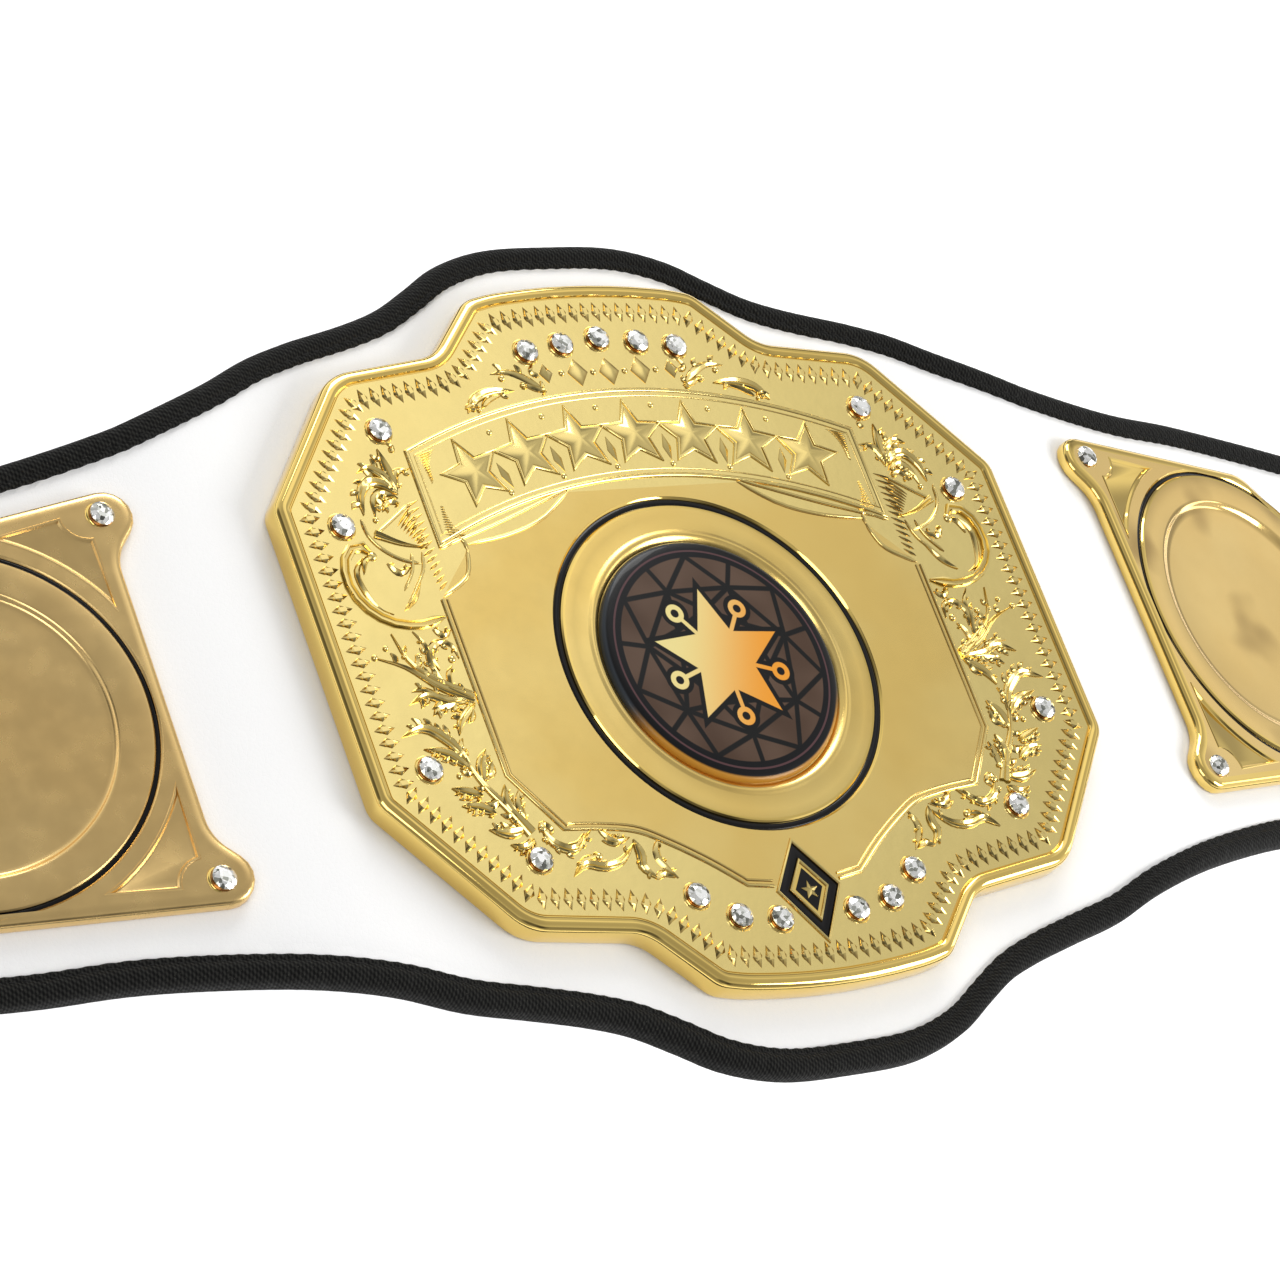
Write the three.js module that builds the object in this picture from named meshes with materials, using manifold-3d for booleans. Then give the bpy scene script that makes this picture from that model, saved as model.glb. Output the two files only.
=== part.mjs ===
// A title belt: a padded strap with a bound edge, a large cast plate at its middle and a smaller one
// on each side, with enamel lines, set stones, a round insert and snap studs at its ends.
// Millimetres. X runs along the belt, Y up its height and Z out of its face. The belt lies on its
// back: Z = 0 is the surface under its flat ends, and its middle stands over it in a low arch.
import * as THREE from 'three';
import { mergeVertices } from 'three/addons/utils/BufferGeometryUtils.js';
import Module from 'manifold-3d';

const wasm = await Module();
wasm.setup();

const clearance = 0.3; // gap between pieces that touch
const rooted = 0.5; // how deep raised relief and cutters reach past the face they start from

const strap = {
  halfLength: 615, // from the middle to the end
  thickness: 5,
  edgeThickness: 4.2, // pressed flat inside the binding
  pressedWidth: 10, // from the edge to the full thickness
  endHalfHeight: 42,
  endCorner: 30, // corner radius at each end
  centreMargin: 16, // strap seen above and below the centre plate
  sideMargin: 12.2, // strap seen above and below a side plate
};
const binding = {
  width: 6.5, // seen from the front
  tape: 1.2, // thickness of the folded tape
};
const centre = {
  halfWidth: 106,
  halfHeight: 95.75,
  thickness: 6, // up to the field that the relief stands on
  rimHeight: 0.7, // rim above the field
  rimWidth: 3.9,
  cornerRound: 8,
  lift: 1.7, // centre of the plate above the middle line of the strap
  medalDrop: 10.25, // centre of the round insert below the centre of the plate
};
const side = {
  innerReach: 47.4, // from the ring's centre to the straight inner edge
  lobeReach: 55.3, // from the ring's centre to the tip of the corner lobes
  outerReach: 47.5,
  halfHeight: 52.3, // at the corner lobes
  outerHalfHeight: 45,
  thickness: 3.6,
  rimHeight: 0.4,
  rimWidth: 2.2,
  lobeRound: 5.2,
  cornerRound: 6,
  lift: -1.1,
  spacing: 30, // from the centre plate to the corner lobes
  seatDepth: 1.8, // round recess
  stoneIn: 8.8, // stones from the tips of the lobes
  stoneDown: 6.8, // stones from the top and bottom edges
};
const sunkPanel = {
  ringGap: 4.6, // from the middle of the enamel line
  edgeGap: 4.2,
  topGap: 6,
  notch: 4.8, // corner cut away beside a stone
  lowAngle: THREE.MathUtils.degToRad(26), // where its curved side starts and ends on the ring
  highAngle: THREE.MathUtils.degToRad(66),
  depth: 0.6,
};
const medal = {
  ringRadius: 43.5, // middle of the enamel line
  ringWidth: 1.8,
  ringDepth: 1,
  seatRadius: 33, // floor of the round recess
  seatSlope: 1.6, // how far the wall of the recess leans out
  insertRadius: 32.2,
  insertEdge: 1.9, // height of the insert at its edge
  insertBevel: 0.6,
  insertDome: 0.9,
  insertDrop: 0.2, // edge of the insert below the face of the plate
};
const stone = { radius: 2.9, girdle: 0.6, crown: 1.1, tableShare: 0.56 };
const arch = {
  tilt: THREE.MathUtils.degToRad(11.7), // slope of the side plates
  runOut: 5, // straight strap past a side plate
  returnRadius: 300, // bend that brings the strap back to the surface
};
const snap = { capRadius: 6.4, capHeight: 1.8, postRadius: 2.4, backRadius: 4.6, inset: 26, pitch: 34 };
const relief = { line: 1.3, lineHeight: 0.45, leafHeight: 0.9, starHeight: 0.8, markHeight: 0.7 };
const facets = { ring: 32, insert: 32, corner: 3, snap: 8, stone: 8 };

const finish = {
  gold: { color: 0xd9b65c, roughness: 0.26, metalness: 1 },
  enamel: { color: 0x0c0b0b, roughness: 0.2, metalness: 0 },
  insert: { color: 0x4a352b, roughness: 0.12, metalness: 0 },
  glass: { color: 0xe6ecee, roughness: 0.05, metalness: 0 },
  leather: { color: 0xf2f2f2, roughness: 0.55, metalness: 0 },
  tape: { color: 0x141414, roughness: 0.85, metalness: 0 },
  snap: { color: 0xcfc8b8, roughness: 0.3, metalness: 1 },
};

// Outlines and solids

const flat = (x, y) => new THREE.Vector2(x, y);
const point = (x, y, z) => new THREE.Vector3(x, y, z);
const lerp = THREE.MathUtils.lerp;

// Moves every edge of a closed outline inwards and gives where the moved edges meet.
function insetCorners(corners, inset) {
  const count = corners.length;
  const edges = corners.map((corner, k) => {
    const next = corners[(k + 1) % count];
    const along = flat(next.x - corner.x, next.y - corner.y).normalize();
    return { x: corner.x - along.y * inset, y: corner.y + along.x * inset, along };
  });
  return corners.map((corner, k) => {
    const before = edges[(k + count - 1) % count];
    const after = edges[k];
    const turn = before.along.cross(after.along);
    if (Math.abs(turn) < 1e-6) return { ...corner, x: after.x, y: after.y };
    const reach = ((after.x - before.x) * after.along.y - (after.y - before.y) * after.along.x) / turn;
    const x = before.x + before.along.x * reach;
    const y = before.y + before.along.y * reach;
    const round = Math.max(corner.round - Math.sign(turn) * inset, 0.3);
    return { x, y, round };
  });
}

// A closed outline with round corners, counter-clockwise, set in from its corners by inset.
function roundedOutline(corners, inset = 0, steps = facets.corner) {
  const moved = insetCorners(corners, inset);
  const count = moved.length;
  const outline = [];
  for (let k = 0; k < count; k += 1) {
    const corner = moved[k];
    const before = moved[(k + count - 1) % count];
    const after = moved[(k + 1) % count];
    const arrive = flat(corner.x - before.x, corner.y - before.y);
    const leave = flat(after.x - corner.x, after.y - corner.y);
    const room = 0.49 * Math.min(arrive.length(), leave.length());
    arrive.normalize();
    leave.normalize();
    const turn = Math.atan2(arrive.cross(leave), arrive.dot(leave));
    const slack = Math.abs(Math.tan(turn / 2));
    const round = Math.min(corner.round, room / slack);
    const start = flat(corner.x, corner.y).addScaledVector(arrive, -round * slack);
    const heading = Math.atan2(arrive.y, arrive.x);
    const hub = flat(-arrive.y, arrive.x).multiplyScalar(Math.sign(turn) * round).add(start);
    for (let i = 0; i <= steps; i += 1) {
      const angle = heading + (turn * i) / steps - Math.sign(turn) * (Math.PI / 2);
      outline.push(flat(hub.x + round * Math.cos(angle), hub.y + round * Math.sin(angle)));
    }
  }
  return outline;
}

// Repeats a quarter's corners, listed from the top round to the right, in the other quarters.
function fourfold(quarter) {
  const right = quarter.filter((corner) => corner.y !== 0);
  const across = (list, sx, sy) => list.map((corner) => ({ ...corner, x: sx * corner.x, y: sy * corner.y }));
  const offAxis = right.filter((corner) => corner.x !== 0);
  return [
    ...across(right, 1, -1),
    ...across([...offAxis].reverse(), 1, 1),
    ...across(right, -1, 1),
    ...across([...offAxis].reverse(), -1, -1),
  ];
}

// Joins rings of points in turn. A cap closes each end, unless the rings run round to the first.
function skin(rings, capPlane = null) {
  const count = rings[0].length;
  const index = [];
  const bands = capPlane ? rings.length - 1 : rings.length;
  for (let r = 0; r < bands; r += 1) {
    const next = (r + 1) % rings.length;
    for (let k = 0; k < count; k += 1) {
      const l = (k + 1) % count;
      const corners = [r * count + k, r * count + l, next * count + l, next * count + k];
      index.push(corners[0], corners[1], corners[2], corners[0], corners[2], corners[3]);
    }
  }
  if (capPlane) {
    const last = (rings.length - 1) * count;
    const caps = [[rings[0], 0, true], [rings.at(-1), last, false]];
    for (const [ring, base, facesBack] of caps) {
      for (const [a, b, c] of THREE.ShapeUtils.triangulateShape(capPlane(ring), [])) {
        index.push(base + a, base + (facesBack ? c : b), base + (facesBack ? b : c));
      }
    }
  }
  const geometry = new THREE.BufferGeometry();
  const places = rings.flat().flatMap((p) => [p.x, p.y, p.z]);
  geometry.setAttribute('position', new THREE.Float32BufferAttribute(places, 3));
  geometry.setIndex(index);
  return geometry;
}

const seenFromAbove = (ring) => ring.map((p) => flat(p.x, p.y));
const seenFromEnd = (ring) => ring.map((p) => flat(p.y, p.z));
const anyTriangle = () => [flat(0, 0), flat(1, 0), flat(0, 1)];
const atHeight = (outline, z) => outline.map((p) => point(p.x, p.y, z));
const prism = (outline, low, high) => skin([atHeight(outline, low), atHeight(outline, high)], seenFromAbove);

// Turns a profile of {r, z} round the Z axis.
function turned(profile, segments) {
  const geometry = new THREE.LatheGeometry(profile.map((p) => flat(p.r, p.z)), segments);
  return geometry.rotateX(Math.PI / 2);
}

function toSolid(geometry) {
  const bare = geometry.clone();
  bare.deleteAttribute('normal');
  bare.deleteAttribute('uv');
  const merged = mergeVertices(bare, 1e-4);
  const corners = Array.from(merged.index.array);
  const triangles = [];
  for (let k = 0; k < corners.length; k += 3) {
    const [a, b, c] = corners.slice(k, k + 3);
    if (a !== b && b !== c && c !== a) triangles.push(a, b, c);
  }
  return new wasm.Manifold(new wasm.Mesh({
    numProp: 3,
    vertProperties: merged.attributes.position.array,
    triVerts: Uint32Array.from(triangles),
  }));
}

function toGeometry(solid) {
  const mesh = solid.getMesh();
  const geometry = new THREE.BufferGeometry();
  geometry.setAttribute('position', new THREE.BufferAttribute(mesh.vertProperties, 3));
  geometry.setIndex(new THREE.BufferAttribute(mesh.triVerts, 1));
  return geometry;
}

const joinAll = (geometries) => wasm.Manifold.union(geometries.map(toSolid));

// The strap's way over the surface

const sideAlong = centre.halfWidth + side.spacing + side.lobeReach;
const stretches = [
  { length: centre.halfWidth, turn: 0 },
  { length: side.spacing, turn: arch.tilt },
  { length: side.lobeReach + side.outerReach + arch.runOut, turn: 0 },
  { length: arch.returnRadius * arch.tilt, turn: -arch.tilt },
];

// Distance out, drop and slope of the strap's middle layer at a length along it.
function followArch(along) {
  const here = { x: 0, z: 0, slope: 0 };
  let left = along;
  for (const stretch of stretches) {
    const length = Math.min(left, stretch.length);
    const bend = stretch.turn / stretch.length;
    const slope = here.slope + bend * length;
    if (bend === 0) {
      here.x += Math.cos(slope) * length;
      here.z -= Math.sin(slope) * length;
    } else {
      here.x += (Math.sin(slope) - Math.sin(here.slope)) / bend;
      here.z += (Math.cos(slope) - Math.cos(here.slope)) / bend;
    }
    here.slope = slope;
    left -= length;
  }
  here.x += left;
  return here;
}

// Half the thickness of the strap at a depth in from its edge.
function strapHalf(depth) {
  const share = Math.min(depth / strap.pressedWidth, 1);
  return lerp(strap.edgeThickness, strap.thickness, share) / 2;
}

const bindingHalf = strap.thickness / 2 + clearance + binding.tape;
const slotDepth = binding.width - binding.tape;
const faceHeight = strap.thickness / 2 + clearance;
const archHeight = bindingHalf - followArch(strap.halfLength).z;

// A point of the belt from its length along the strap, its height and its distance from the middle layer.
function lay(along, y, out) {
  const here = followArch(Math.abs(along));
  const hand = Math.sign(along) || 1;
  const x = hand * (here.x + Math.sin(here.slope) * out);
  return point(x, y, archHeight + here.z + Math.cos(here.slope) * out);
}

// Strap edge from the middle to the tail. plate, gap and tail are shares of the centre plate's half
// width, of the way on to a side plate and of the rest; rise and fall are shares of the way from the
// half height at a side plate up to the middle's, or down to the tail's; steps divide each stretch.
const strapEdge = [
  { plate: 0, gap: 0, tail: 0, rise: 1, fall: 0, steps: 1 },
  { plate: 0.19, gap: 0, tail: 0, rise: 0.98, fall: 0, steps: 2 },
  { plate: 0.33, gap: 0, tail: 0, rise: 0.885, fall: 0, steps: 1 },
  { plate: 0.425, gap: 0, tail: 0, rise: 0.762, fall: 0, steps: 1 },
  { plate: 0.52, gap: 0, tail: 0, rise: 0.645, fall: 0, steps: 1 },
  { plate: 0.615, gap: 0, tail: 0, rise: 0.571, fall: 0, steps: 1 },
  { plate: 0.755, gap: 0, tail: 0, rise: 0.491, fall: 0, steps: 1 },
  { plate: 0.9, gap: 0, tail: 0, rise: 0.413, fall: 0, steps: 1 },
  { plate: 1, gap: 0.05, tail: 0, rise: 0.296, fall: 0, steps: 1 },
  { plate: 1, gap: 0.28, tail: 0, rise: 0.18, fall: 0, steps: 1 },
  { plate: 1, gap: 0.52, tail: 0, rise: 0.091, fall: 0, steps: 1 },
  { plate: 1, gap: 0.75, tail: 0, rise: 0.03, fall: 0, steps: 1 },
  { plate: 1, gap: 1, tail: 0, rise: 0, fall: 0, steps: 1 },
  { plate: 1, gap: 1, tail: 0.07, rise: 0, fall: 0.156, steps: 1 },
  { plate: 1, gap: 1, tail: 0.14, rise: 0, fall: 0.333, steps: 3 },
  { plate: 1, gap: 1, tail: 0.27, rise: 0, fall: 0.6, steps: 1 },
  { plate: 1, gap: 1, tail: 0.5, rise: 0, fall: 0.822, steps: 1 },
  { plate: 1, gap: 1, tail: 0.87, rise: 0, fall: 1, steps: 1 },
];

// Points of the strap's outer edge in its upper right quarter, from the middle to the end.
function strapQuarter() {
  const middleHalf = centre.halfHeight + strap.centreMargin;
  const sideHalf = side.halfHeight + strap.sideMargin;
  const places = strapEdge.map((row) => {
    const beyond = strap.halfLength - sideAlong;
    const along = row.plate * centre.halfWidth + row.gap * (sideAlong - centre.halfWidth) + row.tail * beyond;
    const middle = row.rise * (middleHalf - sideHalf);
    return point(along, sideHalf + middle + row.fall * (strap.endHalfHeight - sideHalf), 0);
  });
  const mirrored = places.slice(1).reverse().map((p) => point(-p.x, p.y, 0));
  const edge = new THREE.CatmullRomCurve3([...mirrored, ...places], false, 'centripetal');
  const spans = mirrored.length + places.length - 1;
  const quarter = [];
  strapEdge.slice(0, -1).forEach((row, k) => {
    for (let i = 0; i < row.steps; i += 1) {
      const p = edge.getPoint((mirrored.length + k + i / row.steps) / spans);
      quarter.push(flat(p.x, p.y));
    }
  });
  const round = Math.min(strap.endCorner, 0.95 * strap.endHalfHeight);
  const hub = flat(strap.halfLength - round, strap.endHalfHeight - round);
  const arcSteps = 5;
  for (let i = 0; i <= arcSteps; i += 1) {
    const angle = (Math.PI / 2) * (1 - i / arcSteps);
    quarter.push(flat(hub.x + round * Math.cos(angle), hub.y + round * Math.sin(angle)));
  }
  return quarter;
}

// Each edge point with the direction that leads out of the strap.
function withOutward(quarter) {
  return quarter.map((p, k) => {
    const before = k === 0 ? flat(-quarter[1].x, quarter[1].y) : quarter[k - 1];
    const after = k === quarter.length - 1 ? flat(p.x, -p.y) : quarter[k + 1];
    const along = flat(after.x - before.x, after.y - before.y).normalize();
    return { x: p.x, y: p.y, outward: flat(-along.y, along.x) };
  });
}

const quarterEdge = withOutward(strapQuarter());

// The whole edge, counter-clockwise from the right end.
function wholeEdge() {
  const copy = (list, sx, sy) => list.map((p) => ({
    x: sx * p.x,
    y: sy * p.y,
    outward: flat(sx * p.outward.x, sy * p.outward.y),
  }));
  const outwards = quarterEdge;
  const inwards = [...quarterEdge].reverse();
  return [
    ...copy(inwards, 1, 1),
    ...copy(outwards.slice(1), -1, 1),
    ...copy(inwards, -1, -1),
    ...copy(outwards.slice(1), 1, -1),
  ];
}

// Strap and binding

function strapPanel() {
  const hidden = binding.tape + clearance; // from the outer edge to the edge of the strap itself
  const half = quarterEdge.map((p) => ({
    x: p.x - p.outward.x * hidden,
    y: p.y - p.outward.y * hidden,
  }));
  const stations = [...half.slice(1).reverse().map((p) => ({ x: -p.x, y: p.y })), ...half];
  const sections = stations.map((p) => {
    const edge = strapHalf(0);
    const full = strapHalf(strap.halfLength - hidden - Math.abs(p.x));
    const inner = Math.max(p.y - strap.pressedWidth, p.y / 2);
    return [
      lay(p.x, -p.y, -edge),
      lay(p.x, -inner, -full),
      lay(p.x, inner, -full),
      lay(p.x, p.y, -edge),
      lay(p.x, p.y, edge),
      lay(p.x, inner, full),
      lay(p.x, -inner, full),
      lay(p.x, -p.y, edge),
    ];
  });
  const panel = toSolid(skin(sections, seenFromEnd));
  const hole = turned([
    { r: 0, z: -strap.thickness },
    { r: snap.postRadius + clearance, z: -strap.thickness },
    { r: snap.postRadius + clearance, z: strap.thickness },
    { r: 0, z: strap.thickness },
  ], facets.snap);
  const holes = snapPlaces().map(({ x, y }) => {
    const place = lay(x, y, 0);
    return hole.clone().translate(place.x, place.y, place.z);
  });
  return toGeometry(panel.subtract(joinAll(holes)));
}

// Folded tape round the edge of the strap, swollen outside it and closing on it at its lips.
function edgeBinding() {
  const upper = [
    { out: -binding.tape, up: strapHalf(0) + clearance },
    { out: -binding.width, up: strapHalf(slotDepth) + clearance },
    { out: -0.4 * binding.width, up: bindingHalf },
    { out: 0, up: 0.5 * bindingHalf },
  ];
  const lower = [...upper].reverse().map(({ out, up }) => ({ out, up: -up }));
  const section = [...upper, ...lower];
  const rings = wholeEdge().map((p) => section.map(({ out, up }) => (
    lay(p.x + p.outward.x * out, p.y + p.outward.y * out, up)
  )));
  return skin(rings);
}

// Snap studs, two by two near each end of the strap.
function snapPlaces() {
  const outer = strap.halfLength - binding.width - snap.inset;
  return [-1, 1].flatMap((hand) => [0, 1].flatMap((column) => [-1, 1].map((row) => ({
    name: `${hand < 0 ? 'left' : 'right'}_${2 * column + (row + 3) / 2}`,
    x: hand * (outer - column * snap.pitch),
    y: (row * snap.pitch) / 2,
  }))));
}

function snapStud() {
  const face = strap.thickness / 2 + clearance;
  const back = face + 0.8 * binding.tape;
  return turned([
    { r: 0, z: -back },
    { r: snap.backRadius, z: -back },
    { r: snap.backRadius, z: -face },
    { r: snap.postRadius, z: -face },
    { r: snap.postRadius, z: face },
    { r: snap.capRadius, z: face },
    { r: 0.75 * snap.capRadius, z: face + snap.capHeight },
    { r: 0, z: face + snap.capHeight },
  ], facets.snap);
}

// Shared parts of the plates

const ringSection = (gap, low, high) => {
  const inner = medal.ringRadius - medal.ringWidth / 2 - gap;
  const outer = medal.ringRadius + medal.ringWidth / 2 + gap;
  return [{ r: inner, z: low }, { r: outer, z: low }, { r: outer, z: high }, { r: inner, z: high }];
};

// A closed ring from a four-sided section.
function ringOf(section) {
  return turned([...section, section[0]], facets.ring);
}

const ringGroove = (face) => ringOf(ringSection(clearance, face - medal.ringDepth, face + rooted));
const enamelRing = () => ringOf(ringSection(0, clearance - medal.ringDepth, 0));

// The round recess for an insert, leaning out towards the face.
function medalRecess(face, depth) {
  const slope = medal.seatSlope / depth;
  return turned([
    { r: 0, z: face - depth },
    { r: medal.seatRadius, z: face - depth },
    { r: medal.seatRadius + medal.seatSlope + slope * rooted, z: face + rooted },
    { r: 0, z: face + rooted },
  ], facets.insert);
}

// A cast plate blank with a rounded rim that stands over its field.
function plateBlank(corners, size) {
  const edge = 0.4 * size.thickness;
  const rings = [
    { inset: 0, z: 0 },
    { inset: 0, z: size.thickness - edge },
    { inset: 0.5 * size.rimWidth, z: size.thickness + size.rimHeight },
    { inset: size.rimWidth, z: size.thickness },
  ];
  return skin(rings.map(({ inset, z }) => atHeight(roundedOutline(corners, inset), z)), seenFromAbove);
}

// A round faceted stone with a flat table, its back on the XY plane.
function cutStone() {
  const count = facets.stone;
  const ring = (radius, z, turnShare) => Array.from({ length: count }, (_, k) => {
    const angle = (2 * Math.PI * (k + turnShare)) / count;
    return point(radius * Math.cos(angle), radius * Math.sin(angle), z);
  });
  return skin([
    ring(stone.radius, 0, 0),
    ring(stone.radius, stone.girdle, 0),
    ring(stone.radius * stone.tableShare, stone.girdle + stone.crown, 0.5),
  ], seenFromAbove);
}

// Relief of the centre plate

// Corners of the plate's upper right quarter, as shares of its half width and half height; round is
// a share of the corner radius.
const centreQuarter = [
  { across: 0, up: 1.004, round: 24 },
  { across: 0.255, up: 0.972, round: 7 },
  { across: 0.318, up: 0.955, round: 1 },
  { across: 0.455, up: 0.798, round: 1.1 },
  { across: 0.745, up: 0.755, round: 1 },
  { across: 1, up: 0.4, round: 0.8 },
];

// Stones of the right half, as shares of the half width and half height.
const centreStones = [
  { across: 0, up: 0.826 },
  { across: 0.106, up: 0.812 },
  { across: 0.209, up: 0.795 },
  { across: 0.672, up: 0.588 },
  { across: 0.852, up: 0.331 },
  { across: 0.85, up: -0.324 },
  { across: 0.66, up: -0.583 },
  { across: 0.299, up: -0.721 },
  { across: 0.209, up: -0.787 },
  { across: 0.105, up: -0.806 },
];

// Leaves of the right half, each from its root past its bend to its tip, with its width. All are
// percent of the plate's half width and half height.
const leaves = [
  { root: [19, 67.5], bend: [26, 73], tip: [33, 73], wide: 2.6 },
  { root: [28, 68.5], bend: [35, 69], tip: [41.5, 62.5], wide: 2.6 },
  { root: [23, 39], bend: [38, 29], tip: [55, 26.5], wide: 2.2 },
  { root: [68, 40], bend: [67.5, 48], tip: [69.5, 53], wide: 3 },
  { root: [68, 40], bend: [73, 45], tip: [75.5, 48], wide: 3 },
  { root: [68, 37], bend: [77, 43], tip: [77, 32], wide: 3 },
  { root: [80, 26], bend: [88, 27], tip: [89, 16], wide: 2.4 },
  { root: [89, 17], bend: [86, 5], tip: [68, 6], wide: 2.4 },
  { root: [67, -15], bend: [76, -6], tip: [89, -2], wide: 2.6 },
  { root: [67, -15], bend: [76, -4], tip: [82.5, 3], wide: 2.6 },
  { root: [67, -15], bend: [70, -3], tip: [75.5, 3], wide: 2.6 },
  { root: [67, -15], bend: [75, -13], tip: [84, -14], wide: 2.6 },
  { root: [67, -15], bend: [71, -19], tip: [74, -23], wide: 2.6 },
  { root: [66, -53], bend: [70, -30], tip: [89, -23], wide: 3.4 },
  { root: [69, -44], bend: [66, -38], tip: [72, -30], wide: 2.8 },
  { root: [70, -43], bend: [77, -46], tip: [79, -42], wide: 2.8 },
  { root: [74, -34], bend: [80, -35], tip: [81, -39], wide: 2.6 },
  { root: [62, -51.5], bend: [55, -55], tip: [49, -52], wide: 2.4 },
  { root: [56, -62], bend: [48, -61], tip: [40.5, -56], wide: 2 },
  { root: [41.5, -55], bend: [43.5, -62], tip: [40.5, -66], wide: 3 },
  { root: [40, -55], bend: [35, -60], tip: [34, -65], wide: 3 },
];

// The raised line round the polished panel, right half, from the banner down to the badge, as
// percent of the half width and half height.
const panelLine = [
  [57, 24], [65, 16], [66.5, 12], [66.5, -36], [57, -50.5], [47, -51.5],
  [38, -54], [28, -60], [19, -67.5], [15.5, -71], [9.5, -72],
];

// The arched banner and the lozenge badge, as shares of the half width and half height.
const banner = { half: 0.627, topMiddle: 0.679, topEnd: 0.53, lowMiddle: 0.417, lowEnd: 0.255, steps: 8 };
const badge = { half: 0.08, top: -0.614, middle: -0.734, low: -0.869, line: 2.2 };
const bannerStars = { each: 3, pitch: 0.155, radius: 0.07, waist: 0.45, points: 5 };
const crestLozenges = { up: 0.73, pitch: 0.075, half: 0.022, tall: 0.032 };
const marks = { inset: 8.2, pitch: 3.35, half: 2.7, narrow: 0.9 };

const onCentre = (across, up) => flat(across * centre.halfWidth, up * centre.halfHeight);
const bothHands = (list, make) => [1, -1].flatMap((hand) => list.map((item) => make(item, hand)));
const centreCorners = fourfold(centreQuarter.map((corner) => ({
  ...onCentre(corner.across, corner.up),
  round: corner.round * centre.cornerRound,
})));

// Lofts a ridge along points of the field, with a half width at each.
function ridge(places, halves, face, height) {
  const rings = places.map((p, k) => {
    const before = places[Math.max(k - 1, 0)];
    const after = places[Math.min(k + 1, places.length - 1)];
    const along = flat(after.x - before.x, after.y - before.y).normalize();
    const foot = (halves[k] * (height + rooted)) / height;
    return [
      point(p.x + along.y * foot, p.y - along.x * foot, face - rooted),
      point(p.x - along.y * foot, p.y + along.x * foot, face - rooted),
      point(p.x, p.y, face + height),
    ];
  });
  return skin(rings, anyTriangle);
}

// A pyramid that meets the face in the given outline.
function peaked(outline, middle, face, height) {
  const grow = (height + rooted) / height;
  const foot = outline.map((p) => flat(lerp(middle.x, p.x, grow), lerp(middle.y, p.y, grow)));
  const geometry = new THREE.BufferGeometry();
  const places = [...atHeight(foot, face - rooted), point(middle.x, middle.y, face + height)];
  const index = THREE.ShapeUtils.triangulateShape(foot, []).flatMap(([a, b, c]) => [a, c, b]);
  foot.forEach((_, k) => index.push(k, (k + 1) % foot.length, foot.length));
  geometry.setAttribute('position', new THREE.Float32BufferAttribute(places.flatMap((p) => p.toArray()), 3));
  return geometry.setIndex(index);
}

function leaf({ root, bend, tip, wide }, hand) {
  const [start, middle, end] = [root, bend, tip].map(([x, y]) => onCentre((hand * x) / 100, y / 100));
  const curve = new THREE.QuadraticBezierCurve(start, middle, end);
  const widths = [0.3, 1, 0.85, 0.12];
  const places = widths.map((_, k) => curve.getPoint(k / (widths.length - 1)));
  const half = (wide / 200) * centre.halfWidth;
  return ridge(places, widths.map((share) => share * half), centre.thickness, relief.leafHeight);
}

const bannerTop = (x) => lerp(banner.topMiddle, banner.topEnd, (x / banner.half) ** 2);
const bannerLow = (x) => lerp(banner.lowMiddle, banner.lowEnd, (x / banner.half) ** 2);

// The banner's raised outline, as four ridges that run into each other.
function bannerLines() {
  const across = Array.from({ length: banner.steps + 1 }, (_, k) => lerp(-1, 1, k / banner.steps) * banner.half);
  const runs = [
    across.map((x) => onCentre(x, bannerTop(x))),
    across.map((x) => onCentre(x, bannerLow(x))),
    ...[-1, 1].map((hand) => [
      onCentre(hand * banner.half, banner.lowEnd),
      onCentre(hand * banner.half, banner.topEnd),
    ]),
  ];
  return runs.map((run) => plainLine(run));
}

function plainLine(places) {
  return ridge(places, places.map(() => relief.line / 2), centre.thickness, relief.lineHeight);
}

// Stars along the banner, leaning with its arch, and small lozenges over it.
function bannerFigures() {
  const radius = bannerStars.radius * centre.halfWidth;
  const stars = [];
  for (let k = -bannerStars.each; k <= bannerStars.each; k += 1) {
    const x = k * bannerStars.pitch;
    const middle = onCentre(x, (bannerTop(x) + bannerLow(x)) / 2);
    const next = onCentre(x + 0.01, (bannerTop(x + 0.01) + bannerLow(x + 0.01)) / 2);
    const lean = Math.atan2(next.y - middle.y, next.x - middle.x);
    const outline = Array.from({ length: 2 * bannerStars.points }, (_, i) => {
      const reach = radius * (i % 2 === 0 ? 1 : bannerStars.waist);
      const angle = lean + Math.PI / 2 + (i * Math.PI) / bannerStars.points;
      return flat(middle.x + reach * Math.cos(angle), middle.y + reach * Math.sin(angle));
    });
    stars.push(peaked(outline, middle, centre.thickness, relief.starHeight));
  }
  const lozenges = [-1, 0, 1].map((k) => {
    const x = k * crestLozenges.pitch;
    const outline = [
      onCentre(x + crestLozenges.half, crestLozenges.up),
      onCentre(x, crestLozenges.up + crestLozenges.tall),
      onCentre(x - crestLozenges.half, crestLozenges.up),
      onCentre(x, crestLozenges.up - crestLozenges.tall),
    ];
    return peaked(outline, onCentre(x, crestLozenges.up), centre.thickness, relief.starHeight);
  });
  return [...stars, ...lozenges];
}

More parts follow.
